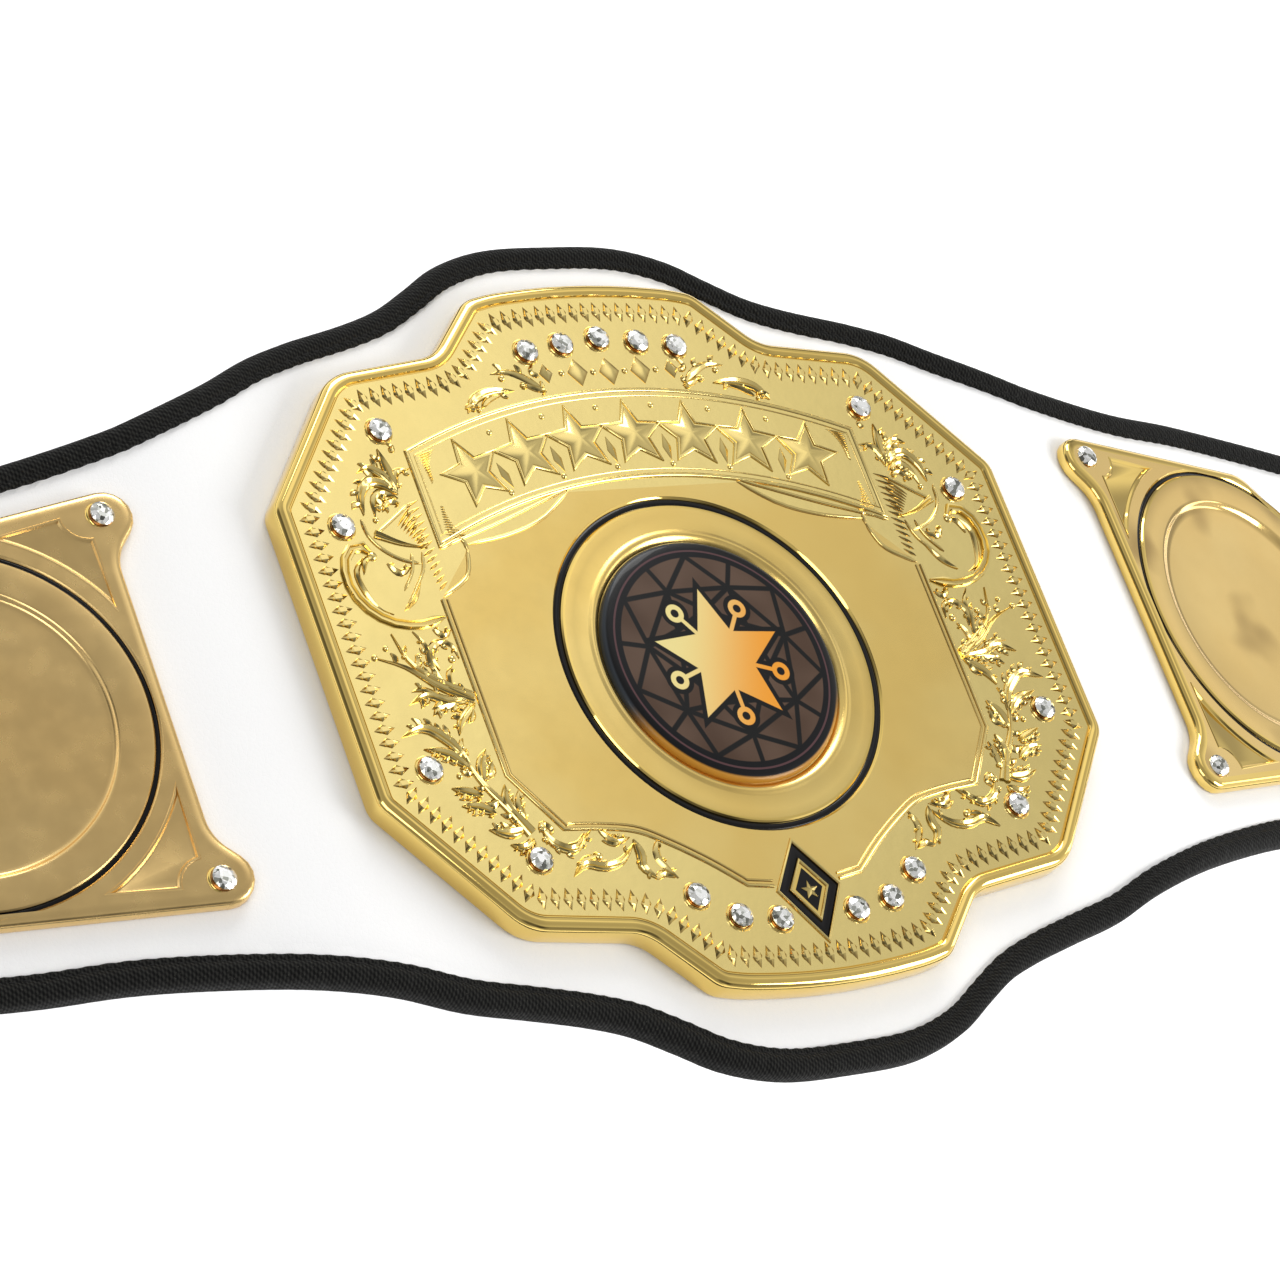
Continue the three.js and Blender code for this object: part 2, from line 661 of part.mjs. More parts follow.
// Milled marks that stand across a path inside the rim.
function borderMarks() {
  const path = roundedOutline(centreCorners, marks.inset);
  const curve = new THREE.CurvePath();
  path.forEach((p, k) => curve.add(new THREE.LineCurve(p, path[(k + 1) % path.length])));
  const count = Math.round(curve.getLength() / marks.pitch);
  return Array.from({ length: count }, (_, k) => {
    const middle = curve.getPoint(k / count);
    const next = curve.getPoint(((k + 0.1) / count) % 1);
    const along = flat(next.x - middle.x, next.y - middle.y).normalize();
    const inward = flat(-along.y, along.x);
    const place = (a, b) => middle.clone().addScaledVector(along, a).addScaledVector(inward, b);
    const outline = [
      place(marks.narrow, 0),
      place(-marks.narrow, marks.half),
      place(-marks.narrow, -marks.half),
    ];
    return peaked(outline, middle, centre.thickness, relief.markHeight);
  });
}

const badgeCorners = [
  { ...onCentre(0, badge.low), round: 0 },
  { ...onCentre(badge.half, badge.middle), round: 0 },
  { ...onCentre(0, badge.top), round: 0 },
  { ...onCentre(-badge.half, badge.middle), round: 0 },
];

// A lozenge band; gap widens it on both sides.
function badgeBand(gap, low, high) {
  const outer = prism(insetCorners(badgeCorners, -gap), low, high);
  const inner = prism(insetCorners(badgeCorners, badge.line + gap), low - rooted, high + rooted);
  return toSolid(outer).subtract(toSolid(inner));
}

const seatDepth = medal.insertDrop + medal.insertEdge + clearance;

function centrePlate() {
  const face = centre.thickness;
  const raised = joinAll([
    plateBlank(centreCorners, centre),
    ...bothHands(leaves, leaf),
    ...[1, -1].map((hand) => plainLine(panelLine.map(([x, y]) => onCentre((hand * x) / 100, y / 100)))),
    ...bannerLines(),
    ...bannerFigures(),
    ...borderMarks(),
  ]);
  const seat = joinAll([ringGroove(face), medalRecess(face, seatDepth)])
    .translate([0, -centre.medalDrop, 0]);
  return toGeometry(raised.subtract(seat).subtract(badgeBand(0, face - medal.ringDepth, face + rooted)));
}

// The other pieces

function roundInsert() {
  const radius = medal.insertRadius;
  const bevel = medal.insertBevel;
  return turned([
    { r: 0, z: 0 },
    { r: radius, z: 0 },
    { r: radius, z: medal.insertEdge - bevel },
    { r: radius - bevel, z: medal.insertEdge },
    { r: 0.6 * radius, z: medal.insertEdge + 0.7 * medal.insertDome },
    { r: 0, z: medal.insertEdge + medal.insertDome },
  ], facets.insert);
}

// Corners of a side plate, counter-clockwise, its straight inner edge towards +X.
function sideCorners() {
  const waist = 0.67 * side.halfHeight; // where the inner edge starts to flare
  const lobe = side.lobeReach - side.innerReach;
  const flare = 2.08 * lobe; // the lobes are cut from a sharp corner this far out
  const chamfer = 0.59 * side.outerReach;
  const upper = [
    { x: side.innerReach, y: waist, round: side.cornerRound },
    { x: side.innerReach + flare, y: side.halfHeight + 1, round: side.lobeRound },
    { x: -side.outerReach + chamfer, y: side.outerHalfHeight, round: side.cornerRound },
    { x: -side.outerReach, y: side.outerHalfHeight - chamfer, round: side.cornerRound },
  ];
  const lower = [...upper].reverse().map((corner) => ({ ...corner, y: -corner.y }));
  return [...upper, ...lower];
}

// Sunk three-sided panels beside the ring, at the inner corners.
function cornerPanels(face) {
  const arcRadius = medal.ringRadius + sunkPanel.ringGap;
  const edge = side.innerReach - sunkPanel.edgeGap;
  const top = side.halfHeight - sunkPanel.topGap;
  const cut = sunkPanel.notch;
  const arcSteps = 5;
  return [1, -1].map((hand) => {
    const arc = Array.from({ length: arcSteps + 1 }, (_, k) => {
      const angle = lerp(sunkPanel.highAngle, sunkPanel.lowAngle, k / arcSteps);
      return flat(arcRadius * Math.cos(angle), arcRadius * Math.sin(angle));
    });
    const notch = [flat(edge, top - 1.8 * cut), flat(edge - cut, top - 0.85 * cut), flat(edge - 1.1 * cut, top)];
    const outline = [...arc, ...notch];
    const turnedOutline = hand > 0 ? outline : outline.map((p) => flat(p.x, -p.y)).reverse();
    return prism(turnedOutline, face - sunkPanel.depth, face + rooted);
  });
}

function sidePlate() {
  const face = side.thickness;
  const cuts = [ringGroove(face), medalRecess(face, side.seatDepth), ...cornerPanels(face)];
  return toGeometry(toSolid(plateBlank(sideCorners(), side)).subtract(joinAll(cuts)));
}

// The belt

const belt = new THREE.Group();

function add(name, geometry, look, place, group = belt) {
  const material = new THREE.MeshStandardMaterial({ ...look, side: THREE.FrontSide });
  const mesh = new THREE.Mesh(geometry, material);
  mesh.name = name;
  mesh.position.copy(place);
  group.add(mesh);
}

const origin = point(0, 0, 0);
const turnedPiece = (geometry) => toGeometry(toSolid(geometry));
const twoDigits = (number) => String(number).padStart(2, '0');

add('strap_panel', strapPanel(), finish.leather, origin);
add('edge_binding', edgeBinding(), finish.tape, origin);
for (const { name, x, y } of snapPlaces()) {
  add(`snap_${name}`, turnedPiece(snapStud()), finish.snap, lay(x, y, 0));
}

const middleGroup = new THREE.Group();
middleGroup.position.copy(lay(0, centre.lift, faceHeight));
belt.add(middleGroup);

const medalPlace = (z) => point(0, -centre.medalDrop, z);
const badgeInlay = toGeometry(badgeBand(-clearance, clearance - medal.ringDepth, 0));
add('center_plate', centrePlate(), finish.gold, origin, middleGroup);
add('center_enamel_ring', turnedPiece(enamelRing()), finish.enamel, medalPlace(centre.thickness), middleGroup);
add('center_insert', turnedPiece(roundInsert()), finish.insert, medalPlace(centre.thickness - seatDepth + clearance), middleGroup);
add('badge_enamel', badgeInlay, finish.enamel, point(0, 0, centre.thickness), middleGroup);
centreStones.flatMap((row) => (row.across === 0 ? [1] : [-1, 1]).map((hand) => ({ ...row, hand })))
  .forEach(({ across, up, hand }, k) => {
    const at = onCentre(hand * across, up);
    const place = point(at.x, at.y, centre.thickness + clearance);
    add(`center_stone_${twoDigits(k + 1)}`, cutStone(), finish.glass, place, middleGroup);
  });

for (const [name, hand] of [['left', -1], ['right', 1]]) {
  const group = new THREE.Group();
  group.position.copy(lay(hand * sideAlong, side.lift, faceHeight));
  group.rotation.set(0, hand * arch.tilt, hand > 0 ? Math.PI : 0);
  belt.add(group);
  add(`side_plate_${name}`, sidePlate(), finish.gold, origin, group);
  const ring = turnedPiece(enamelRing());
  add(`side_enamel_ring_${name}`, ring, finish.enamel, point(0, 0, side.thickness), group);
  [-1, 1].forEach((row, k) => {
    const x = side.lobeReach - side.stoneIn;
    const place = point(x, row * (side.halfHeight - side.stoneDown), side.thickness + clearance);
    add(`side_stone_${name}_${k + 1}`, cutStone(), finish.glass, place, group);
  });
}

export default belt;
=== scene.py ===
import math

import bpy
import bmesh
import numpy as np
from mathutils import Matrix, Vector, geometry


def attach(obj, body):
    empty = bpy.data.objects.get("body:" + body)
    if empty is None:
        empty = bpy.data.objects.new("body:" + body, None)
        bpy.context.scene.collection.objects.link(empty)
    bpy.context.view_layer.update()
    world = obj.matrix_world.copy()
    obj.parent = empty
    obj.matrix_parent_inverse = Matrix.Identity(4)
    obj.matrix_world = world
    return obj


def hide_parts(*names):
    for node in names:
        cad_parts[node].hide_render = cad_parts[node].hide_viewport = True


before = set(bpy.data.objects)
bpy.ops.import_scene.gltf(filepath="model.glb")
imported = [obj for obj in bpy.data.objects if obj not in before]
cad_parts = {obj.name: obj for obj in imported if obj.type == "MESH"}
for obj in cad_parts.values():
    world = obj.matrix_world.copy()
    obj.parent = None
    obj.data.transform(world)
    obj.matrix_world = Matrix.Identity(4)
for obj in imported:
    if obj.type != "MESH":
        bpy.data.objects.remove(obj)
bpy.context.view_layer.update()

mm = 0.001
body = "root"
print("stage 1: frame loaded,", len(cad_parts), "nodes")


# Camera, floor and lights

view = {
    "place": (-649.1, -388.95, 827.65),  # mm
    "right": (0.8093, -0.3318, 0.4848),
    "up": (0.0672, 0.8719, 0.4849),
    "back": (-0.5837, -0.3600, 0.7278),
    "lens": 129.58,
    "sensor": 36.0,
}


def placeCamera():
    data = bpy.data.cameras.new("viewCamera")
    data.lens = view["lens"]
    data.sensor_width = view["sensor"]
    data.clip_start = 0.05
    data.clip_end = 40
    camera = bpy.data.objects.new("viewCamera", data)
    turn = Matrix((view["right"], view["up"], view["back"])).transposed()
    turn = turn.to_quaternion().normalized().to_matrix().to_4x4()
    camera.matrix_world = Matrix.Translation(Vector(view["place"]) * mm) @ turn
    bpy.context.scene.collection.objects.link(camera)
    bpy.context.scene.camera = camera


studio = {
    "aim": (0, 0, 0.04),
    "floorSize": 9.0,
    "floorDrop": 0.0006,  # under the belt, so that nothing flickers
    "floorTone": (0.93, 0.93, 0.935, 1),
    "floorGlow": 0.36,
    "boxes": [  # name, direction from the belt, distance, width, height, radiance, tint
        ("keyBox", (0.30, 0.80, 0.52), 2.2, 1.1, 0.9, 5.8, (1.0, 0.995, 0.97)),
        ("fillBox", (-0.66, -0.26, 0.70), 2.6, 1.4, 1.4, 2.6, (1.0, 1.0, 1.0)),
        ("nearBox", (0.68, -0.46, 0.57), 2.4, 1.0, 1.0, 8.8, (1.0, 0.995, 0.98)),
        ("stripBox", (0.97, -0.08, 0.22), 2.4, 0.3, 1.2, 2.4, (1.0, 0.99, 0.96)),
    ],
}


def placeLights():
    for name, direction, distance, width, height, radiance, tint in studio["boxes"]:
        data = bpy.data.lights.new(name, "AREA")
        data.shape = "RECTANGLE"
        data.size = width
        data.size_y = height
        data.energy = radiance * math.pi * width * height
        data.color = tint
        lamp = bpy.data.objects.new(name, data)
        aim = Vector(studio["aim"])
        lamp.location = aim + Vector(direction).normalized() * distance
        lamp.rotation_euler = (lamp.location - aim).to_track_quat("Z", "Y").to_euler()
        bpy.context.scene.collection.objects.link(lamp)


# Shader maths

class Signal:  # one output of a node, with the usual operators
    def __init__(self, finish, socket):
        self.finish = finish
        self.socket = socket

    def combine(self, operation, first, second):
        if self.socket.type == "VECTOR":
            if operation == "MULTIPLY" and not isinstance(second, (Signal, tuple)):
                second = (second,) * 3
            return self.finish.node("ShaderNodeVectorMath", {"operation": operation}, {0: first, 1: second})
        return self.finish.maths(operation, first, second)

    def __add__(self, other):
        return self.combine("ADD", self, other)

    def __radd__(self, other):
        return self.combine("ADD", other, self)

    def __sub__(self, other):
        return self.combine("SUBTRACT", self, other)

    def __rsub__(self, other):
        return self.combine("SUBTRACT", other, self)

    def __mul__(self, other):
        return self.combine("MULTIPLY", self, other)

    def __rmul__(self, other):
        return self.combine("MULTIPLY", self, other)

    def __truediv__(self, other):
        return self.combine("DIVIDE", self, other)

    def __pow__(self, other):
        return self.combine("POWER", self, other)

    def out(self, name):
        return Signal(self.finish, self.socket.node.outputs[name])


class Finish:  # a node tree for a material or for the surroundings
    def __init__(self, owner):
        self.owner = owner
        owner.use_nodes = True
        self.tree = owner.node_tree
        self.tree.nodes.clear()

    def node(self, kind, settings=None, inputs=None):
        made = self.tree.nodes.new(kind)
        for name, value in (settings or {}).items():
            if name == "stops":
                self.setStops(made.color_ramp, value)
            else:
                setattr(made, name, value)
        for name, value in (inputs or {}).items():
            socket = made.inputs[name]
            if isinstance(value, Signal):
                self.tree.links.new(value.socket, socket)
            else:
                socket.default_value = value
        return Signal(self, made.outputs[0]) if made.outputs else None

    def setStops(self, ramp, stops):
        while len(ramp.elements) > 1:
            ramp.elements.remove(ramp.elements[-1])
        ramp.elements[0].position = stops[0][0]
        ramp.elements[0].color = stops[0][1]
        for place, colour in stops[1:]:
            ramp.elements.new(place).color = colour

    def maths(self, operation, *values):
        return self.node("ShaderNodeMath", {"operation": operation}, dict(enumerate(values)))

    def mix(self, factor, first, second):
        return self.node("ShaderNodeMix", {"data_type": "RGBA"}, {0: factor, 6: first, 7: second}).out(2)

    def place(self):
        return self.node("ShaderNodeTexCoord").out("Object")

    def part(self, vector, axis):
        return self.node("ShaderNodeSeparateXYZ", {}, {"Vector": vector}).out(axis)

    def ramp(self, value, low, high):
        settings = {"interpolation_type": "SMOOTHSTEP", "clamp": True}
        return self.node("ShaderNodeMapRange", settings, {"Value": value, "From Min": low, "From Max": high})

    def bump(self, height, depth, normal=None):
        inputs = {"Height": height, "Distance": depth, "Strength": 1.0}
        if normal:
            inputs["Normal"] = normal
        return self.node("ShaderNodeBump", {}, inputs)

    def noise(self, place, scale, detail=2.0, rough=0.5):
        inputs = {"Vector": place, "Scale": scale, "Detail": detail, "Roughness": rough}
        return self.node("ShaderNodeTexNoise", {}, inputs)

    def surface(self, inputs):
        shader = self.node("ShaderNodeBsdfPrincipled", {}, inputs)
        self.node("ShaderNodeOutputMaterial", {}, {"Surface": shader})
        return self.owner


def newFinish(name):
    return Finish(bpy.data.materials.new(name))


# Surroundings: a bright room, a little darker overhead, with soft dark gaps between the boxes

room = {
    "levels": [  # share of the way from below to overhead, radiance
        (0.0, 0.62), (0.5, 0.98), (0.64, 0.92), (0.80, 0.60), (0.885, 0.56), (0.95, 0.41), (1.0, 0.38),
    ],
    "gaps": [  # direction, cosine where it starts, cosine where it is full, depth; a negative one brightens
        ((0.42, 0.47, 0.775), 0.955, 0.995, -0.9),
        ((0.89, 0.33, 0.32), 0.955, 0.995, -0.1),
        ((0.975, 0.20, 0.10), 0.955, 0.99, 0.6),
        ((0.70, 0.45, 0.55), 0.965, 0.995, 0.15),
        ((-0.76, -0.64, 0.06), 0.62, 0.86, 0.62),
        ((0.78, 0.55, 0.30), 0.965, 0.995, 0.6),
        ((-0.80, 0.40, 0.46), 0.87, 0.985, 0.82),
        ((-0.02, -0.82, 0.57), 0.91, 0.985, 0.8),
        ((0.35, -0.85, 0.38), 0.90, 0.985, 0.65),
        ((0.55, 0.80, 0.12), 0.93, 0.99, 0.7),
    ],
}


def paintRoom():
    world = bpy.data.worlds.new("studioRoom")
    bpy.context.scene.world = world
    finish = Finish(world)
    direction = finish.node("ShaderNodeTexCoord").out("Generated")
    height = finish.part(direction, "Z") * 0.5 + 0.5
    stops = [(place, (level, level, level, 1)) for place, level in room["levels"]]
    light = finish.node("ShaderNodeValToRGB", {"stops": stops}, {"Fac": height})
    shade = 1
    for toward, start, full, depth in room["gaps"]:
        inputs = {0: direction, 1: tuple(Vector(toward).normalized())}
        near = finish.node("ShaderNodeVectorMath", {"operation": "DOT_PRODUCT"}, inputs).out("Value")
        shade = shade * (1 - finish.ramp(near, start, full) * depth)
    background = finish.node("ShaderNodeBackground", {}, {"Color": light, "Strength": shade})
    finish.node("ShaderNodeOutputWorld", {}, {"Surface": background})


# Finishes

goldTones = {
    "light": (0.92, 0.685, 0.24, 1),
    "deep": (0.88, 0.625, 0.195, 1),
    # painted shade: a dark tone for the crevices where the raised casting meets the field, with some antique
    # tone
    "hollow": (0.46, 0.29, 0.075, 1),
    # painted highlight: a lemon tone standing for clipped highlights, mixed evenly into the polished, field
    # and raised golds
    "lemonHighlight": (0.98, 0.815, 0.33, 1),
    # painted reflection: a dark brown for soft dark reflections on the right side plate, with some tarnish
    "darkReflectionAndTarnish": (0.42, 0.28, 0.10, 1),
    "brown": (0.78, 0.52, 0.27, 1),
    "amber": (0.84, 0.55, 0.10, 1),
}
goldLooks = {  # waves and grain are (depth in mm, scale), streak is the depth of brushing in mm
    "polishedGold": {"rough": 0.03, "waves": (0.004, 160), "grain": (0.0, 4000), "lemonHighlight": 0.35,
                     "tint": ("amber", 0.4)},
    "castField": {"rough": 0.13, "waves": (0.016, 330), "grain": (0.0016, 3600), "lemonHighlight": 0.65},
    "satinPanel": {"rough": 0.18, "waves": (0.0012, 60), "grain": (0.0010, 3200), "streak": 0.0010},
    "raisedGold": {"rough": 0.09, "waves": (0.012, 600), "grain": (0.0, 4000), "lemonHighlight": 0.5,
                   "creviceShadeSpan": (43.85, 44.5)},
    # painted shade: the side plates' gold is browned and darkened for how light falls on them
    "sideSatin": {"rough": 0.2, "waves": (0.004, 60), "grain": (0.0012, 3000), "streak": 0.0012,
                  "tint": ("brown", 0.5)},
    "sideBright": {"rough": 0.075, "waves": (0.012, 45), "grain": (0.0005, 3000), "darkReflectionAndTarnish": 0.8,
                   "tint": ("brown", 0.3)},
}


def goldFinish(name):
    look = {"lemonHighlight": 0.0, "tint": ("brown", 0.0), **goldLooks[name]}
    finish = newFinish(name)
    place = finish.place()
    cloud = finish.noise(place, 26, 3)
    fine = finish.noise(place, 900, 3)
    colour = finish.mix(finish.ramp(cloud, 0.35, 0.65), goldTones["deep"], goldTones["light"])
    # painted highlight: the lemon tone mixed evenly into this gold
    colour = finish.mix(look["lemonHighlight"], colour, goldTones["lemonHighlight"])
    tone, share = look["tint"]
    colour = finish.mix(share, colour, goldTones[tone])
    # painted reflection: soft dark patches standing for dark things reflected in the gold, with some tarnish
    if "darkReflectionAndTarnish" in look:  # soft dark patches
        patch = finish.ramp(finish.noise(place, 34, 2), 0.54, 0.72)
        colour = finish.mix(patch * look["darkReflectionAndTarnish"], colour, goldTones["darkReflectionAndTarnish"])
    # painted shade: the raised gold darkens towards the crevice tone near the field, where shade falls, with
    # some antique tone
    if "creviceShadeSpan" in look:  # darker where the casting meets the field
        low, high = look["creviceShadeSpan"]
        lifted = finish.ramp(finish.part(place, "Z"), low * mm, high * mm)
        colour = finish.mix(lifted, goldTones["hollow"], colour)
    worn = finish.ramp(finish.noise(place, 140, 4), 0.3, 0.75)
    roughness = look["rough"] + worn * look["rough"] * 0.4 + fine * 0.03
    normal = None
    for depth, scale in (look["waves"], look["grain"]):
        normal = finish.bump(finish.noise(place, scale, 2), depth * mm, normal)
    if "streak" in look:  # fine brushing
        turned = {"Vector": place, "Scale": (1, 14, 1), "Rotation": (0, 0, 0.25)}
        drawn = finish.node("ShaderNodeMapping", {}, turned)
        normal = finish.bump(finish.noise(drawn, 420, 3), look["streak"] * mm, normal)
    return finish.surface({"Base Color": colour, "Metallic": 1.0, "Roughness": roughness, "Normal": normal})


# Cloud is (scale, detail), rough is (least, spread, scale, detail), waves are (depth in mm, scale, detail).
plainLooks = {
    "blackEnamel": {
        "tones": [(0.002, 0.002, 0.002, 1), (0.007, 0.006, 0.006, 1)], "cloud": (400, 2),
        "rough": (0.1, 0.12, 1500, 2), "waves": (0.03, 260, 2),
        "rest": {"Coat Weight": 0.15, "Coat Roughness": 0.05, "Specular IOR Level": 0.15}},
    "blackThread": {
        "tones": [(0.002, 0.002, 0.002, 1), (0.012, 0.012, 0.011, 1)], "cloud": (3000, 1),
        "rough": (0.6, 0.0, 3000, 1), "waves": (0.05, 3000, 1), "rest": {"Specular IOR Level": 0.2}},
    "snapNickel": {
        "tones": [(0.62, 0.60, 0.56, 1), (0.80, 0.78, 0.74, 1)], "cloud": (300, 3),
        "rough": (0.12, 0.12, 900, 3), "waves": (0.01, 500, 2), "rest": {"Metallic": 1.0}},
}


def plainFinish(name):
    look = plainLooks[name]
    finish = newFinish(name)
    place = finish.place()
    colour = finish.mix(finish.noise(place, *look["cloud"]), *look["tones"])
    least, spread, *grain = look["rough"]
    depth, *waves = look["waves"]
    roughness = least + finish.noise(place, *grain) * spread
    normal = finish.bump(finish.noise(place, *waves), depth * mm)
    return finish.surface({"Base Color": colour, "Roughness": roughness, "Normal": normal, **look["rest"]})


def crystalFinish():
    finish = newFinish("cutCrystal")
    place = finish.place()
    # painted reflections: the facet cells are coloured from near black to white, standing for the sparkle of
    # a cut stone
    cells = finish.node("ShaderNodeTexVoronoi", {"feature": "F1"}, {"Vector": place, "Scale": 950.0})
    tone = finish.node("ShaderNodeSeparateColor", {}, {"Color": cells.out("Color")}).out("Red")
    stops = [(0.0, (0.10, 0.10, 0.08, 1)), (0.25, (0.36, 0.37, 0.32, 1)), (0.42, (0.86, 0.87, 0.82, 1)),
             (0.6, (1.0, 1.0, 0.98, 1))]
    colour = finish.node("ShaderNodeValToRGB", {"stops": stops}, {"Fac": tone})
    normal = finish.bump(tone, 0.35 * mm)
    roughness = 0.03 + finish.noise(place, 2000, 1) * 0.03
    return finish.surface({"Base Color": colour, "Metallic": 0.75, "Roughness": roughness, "Normal": normal,
                           "Coat Weight": 1.0, "Coat Roughness": 0.02, "IOR": 1.6})


def amberFinish():
    finish = newFinish("amberFoilAndGoldReflection")
    place = finish.place()
    # painted reflection and shade: the amber foil colour, darker in patches, stands for the gold seen in the
    # stone's side and the shade below it
    cloud = finish.ramp(finish.noise(place, 500, 2), 0.3, 0.7)
    colour = finish.mix(cloud, (0.16, 0.045, 0.004, 1), (0.62, 0.26, 0.03, 1))
    roughness = 0.15 + finish.noise(place, 900, 2) * 0.15
    return finish.surface({"Base Color": colour, "Metallic": 0.8, "Roughness": roughness, "Coat Weight": 0.8})


def leatherFinish():
    finish = newFinish("whiteLeather")
    place = finish.place()
    cloud = finish.noise(place, 14, 3)
    colour = finish.mix(finish.ramp(cloud, 0.3, 0.7), (0.945, 0.945, 0.95, 1), (0.97, 0.97, 0.97, 1))
    cells = {"Vector": place, "Scale": 900.0}
    pores = finish.node("ShaderNodeTexVoronoi", {"feature": "DISTANCE_TO_EDGE"}, cells).out("Distance")
    grain = finish.ramp(pores, 0.0, 0.12)
    folds = finish.node("ShaderNodeAttribute", {"attribute_name": "pucker"}).out("Fac")
    normal = finish.bump(folds, 0.55 * mm)
    normal = finish.bump(finish.noise(place, 22, 2), 0.5 * mm, normal)
    normal = finish.bump(grain, 0.018 * mm, normal)
    roughness = 0.42 + finish.noise(place, 300, 3) * 0.14
    return finish.surface({"Base Color": colour, "Roughness": roughness, "Normal": normal,
                           "Specular IOR Level": 0.4, "Sheen Weight": 0.1})


def tapeFinish():
    finish = newFinish("blackTape")
    weave = finish.node("ShaderNodeUVMap", {"uv_map": "weave"})
    along, across = finish.part(weave, "X"), finish.part(weave, "Y")
    ribs = finish.maths("SINE", (along * 0.8 + across) * 4.6)
    threads = finish.maths("SINE", along * 7.5)
    cloth = ribs * 0.5 + threads * 0.5
    place = finish.place()
    paleSpecks = finish.noise(place, 2600, 2)
    # painted highlight: the crowns of the weave are lighter; pale specks are scattered by noise
    crown = finish.ramp(cloth, -0.6, 0.9)
    colour = finish.mix(crown, (0.0006, 0.0006, 0.0006, 1), (0.020, 0.020, 0.018, 1))
    colour = finish.mix(finish.ramp(paleSpecks, 0.62, 0.8) * 0.7, colour, (0.07, 0.067, 0.058, 1))
    normal = finish.bump(finish.noise(weave, 0.28, 2), 0.5 * mm)
    normal = finish.bump(cloth, 0.07 * mm, normal)
    roughness = 0.55 + finish.noise(place, 700, 2) * 0.25
    return finish.surface({"Base Color": colour, "Roughness": roughness, "Normal": normal,
                           "Specular IOR Level": 0.12})


def floorFinish():
    finish = newFinish("paleFloor")
    tone = studio["floorTone"]
    return finish.surface({"Base Color": tone, "Roughness": 0.8, "Emission Color": tone,
                           "Emission Strength": studio["floorGlow"], "Specular IOR Level": 0.1})


# Shape helpers. Shapes are worked out in millimetres and become metres in Shell.build.

roundSteps = 160  # sides of a large round shape


class Shell:  # points and faces of one piece
    def __init__(self):
        self.points = []
        self.faces = []
        self.kinds = []

    def add(self, points, faces, kind=0):
        first = len(self.points)
        self.points.extend(tuple(float(v) for v in p) for p in points)
        self.faces.extend(tuple(i + first for i in face) for face in faces)
        self.kinds.extend([kind] * len(faces))

    def loft(self, rings, caps=(True, True), closed=True, kind=0):
        count = len(rings[0])
        faces = []
        wrap = count if closed else count - 1
        for k in range(len(rings) - 1):
            for j in range(wrap):
                a, b = k * count + j, k * count + (j + 1) % count
                faces.append((a, b, b + count, a + count))
        if caps[0]:
            faces.append(tuple(reversed(range(count))))
        if caps[1]:
            faces.append(tuple(range((len(rings) - 1) * count, len(rings) * count)))
        self.add([p for ring in rings for p in ring], faces, kind)

    def moved(self, place):
        for k, p in enumerate(self.points):
            self.points[k] = tuple(place @ Vector(p))

    def build(self, name, finishes, sharp=35, outward=True):
        mesh = bpy.data.meshes.new(name)
        mesh.from_pydata([tuple(v * mm for v in p) for p in self.points], [], self.faces)
        for finish in finishes:
            mesh.materials.append(finish)
        mesh.polygons.foreach_set("material_index", self.kinds)
        if outward:
            work = bmesh.new()
            work.from_mesh(mesh)
            bmesh.ops.recalc_face_normals(work, faces=work.faces)
            work.to_mesh(mesh)
            work.free()
        mesh.shade_smooth()
        mesh.set_sharp_from_angle(angle=math.radians(sharp))
        piece = bpy.data.objects.new(name, mesh)
        bpy.context.scene.collection.objects.link(piece)
        return piece


def nodesNamed(start):
    return sorted(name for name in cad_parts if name.startswith(start))


def own(piece, slotName, *nodes):
    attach(piece, body)
    if nodes:
        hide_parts(*nodes)
    return piece


def unit(v):
    return v / max(np.linalg.norm(v), 1e-9)


def turnLeft(v):
    return np.array((-v[1], v[0]))


# Corners (x, y, round), counter-clockwise, moved in by inset and rounded.
def roundedOutline(corners, inset, steps=7):
    spots = [np.array(c[:2], float) for c in corners]
    outline = []
    for k, corner in enumerate(corners):
        here = spots[k]
        arrive = unit(here - spots[k - 1])
        leave = unit(spots[(k + 1) % len(spots)] - here)
        inward = turnLeft(arrive)
        both = (inward + turnLeft(leave)) / (1 + float(inward @ turnLeft(leave)))
        angle = math.atan2(arrive[0] * leave[1] - arrive[1] * leave[0], float(arrive @ leave))
        hand = 1 if angle >= 0 else -1
        radius = max(corner[2] - hand * inset, 0.3)
        start = here + both * inset - arrive * radius * math.tan(abs(angle) / 2)
        hub = start + inward * radius * hand
        for i in range(steps + 1):
            a = angle * i / steps
            spoke = -inward * hand
            outline.append(hub + radius * np.array((
                spoke[0] * math.cos(a) - spoke[1] * math.sin(a),
                spoke[0] * math.sin(a) + spoke[1] * math.cos(a))))
    return np.array(outline)


# A closed counter-clockwise outline moved in, its corners kept sharp.
def insetLoop(loop, inset):
    before = loop - np.roll(loop, 1, 0)
    after = np.roll(loop, -1, 0) - loop
    before /= np.linalg.norm(before, axis=1)[:, None]
    after /= np.linalg.norm(after, axis=1)[:, None]
    inA = np.stack((-before[:, 1], before[:, 0]), 1)
    inB = np.stack((-after[:, 1], after[:, 0]), 1)
    both = (inA + inB) / np.maximum(1 + (inA * inB).sum(1), 0.25)[:, None]
    return loop + both * inset


def atHeight(loop, z):
    return [(p[0], p[1], z) for p in loop]


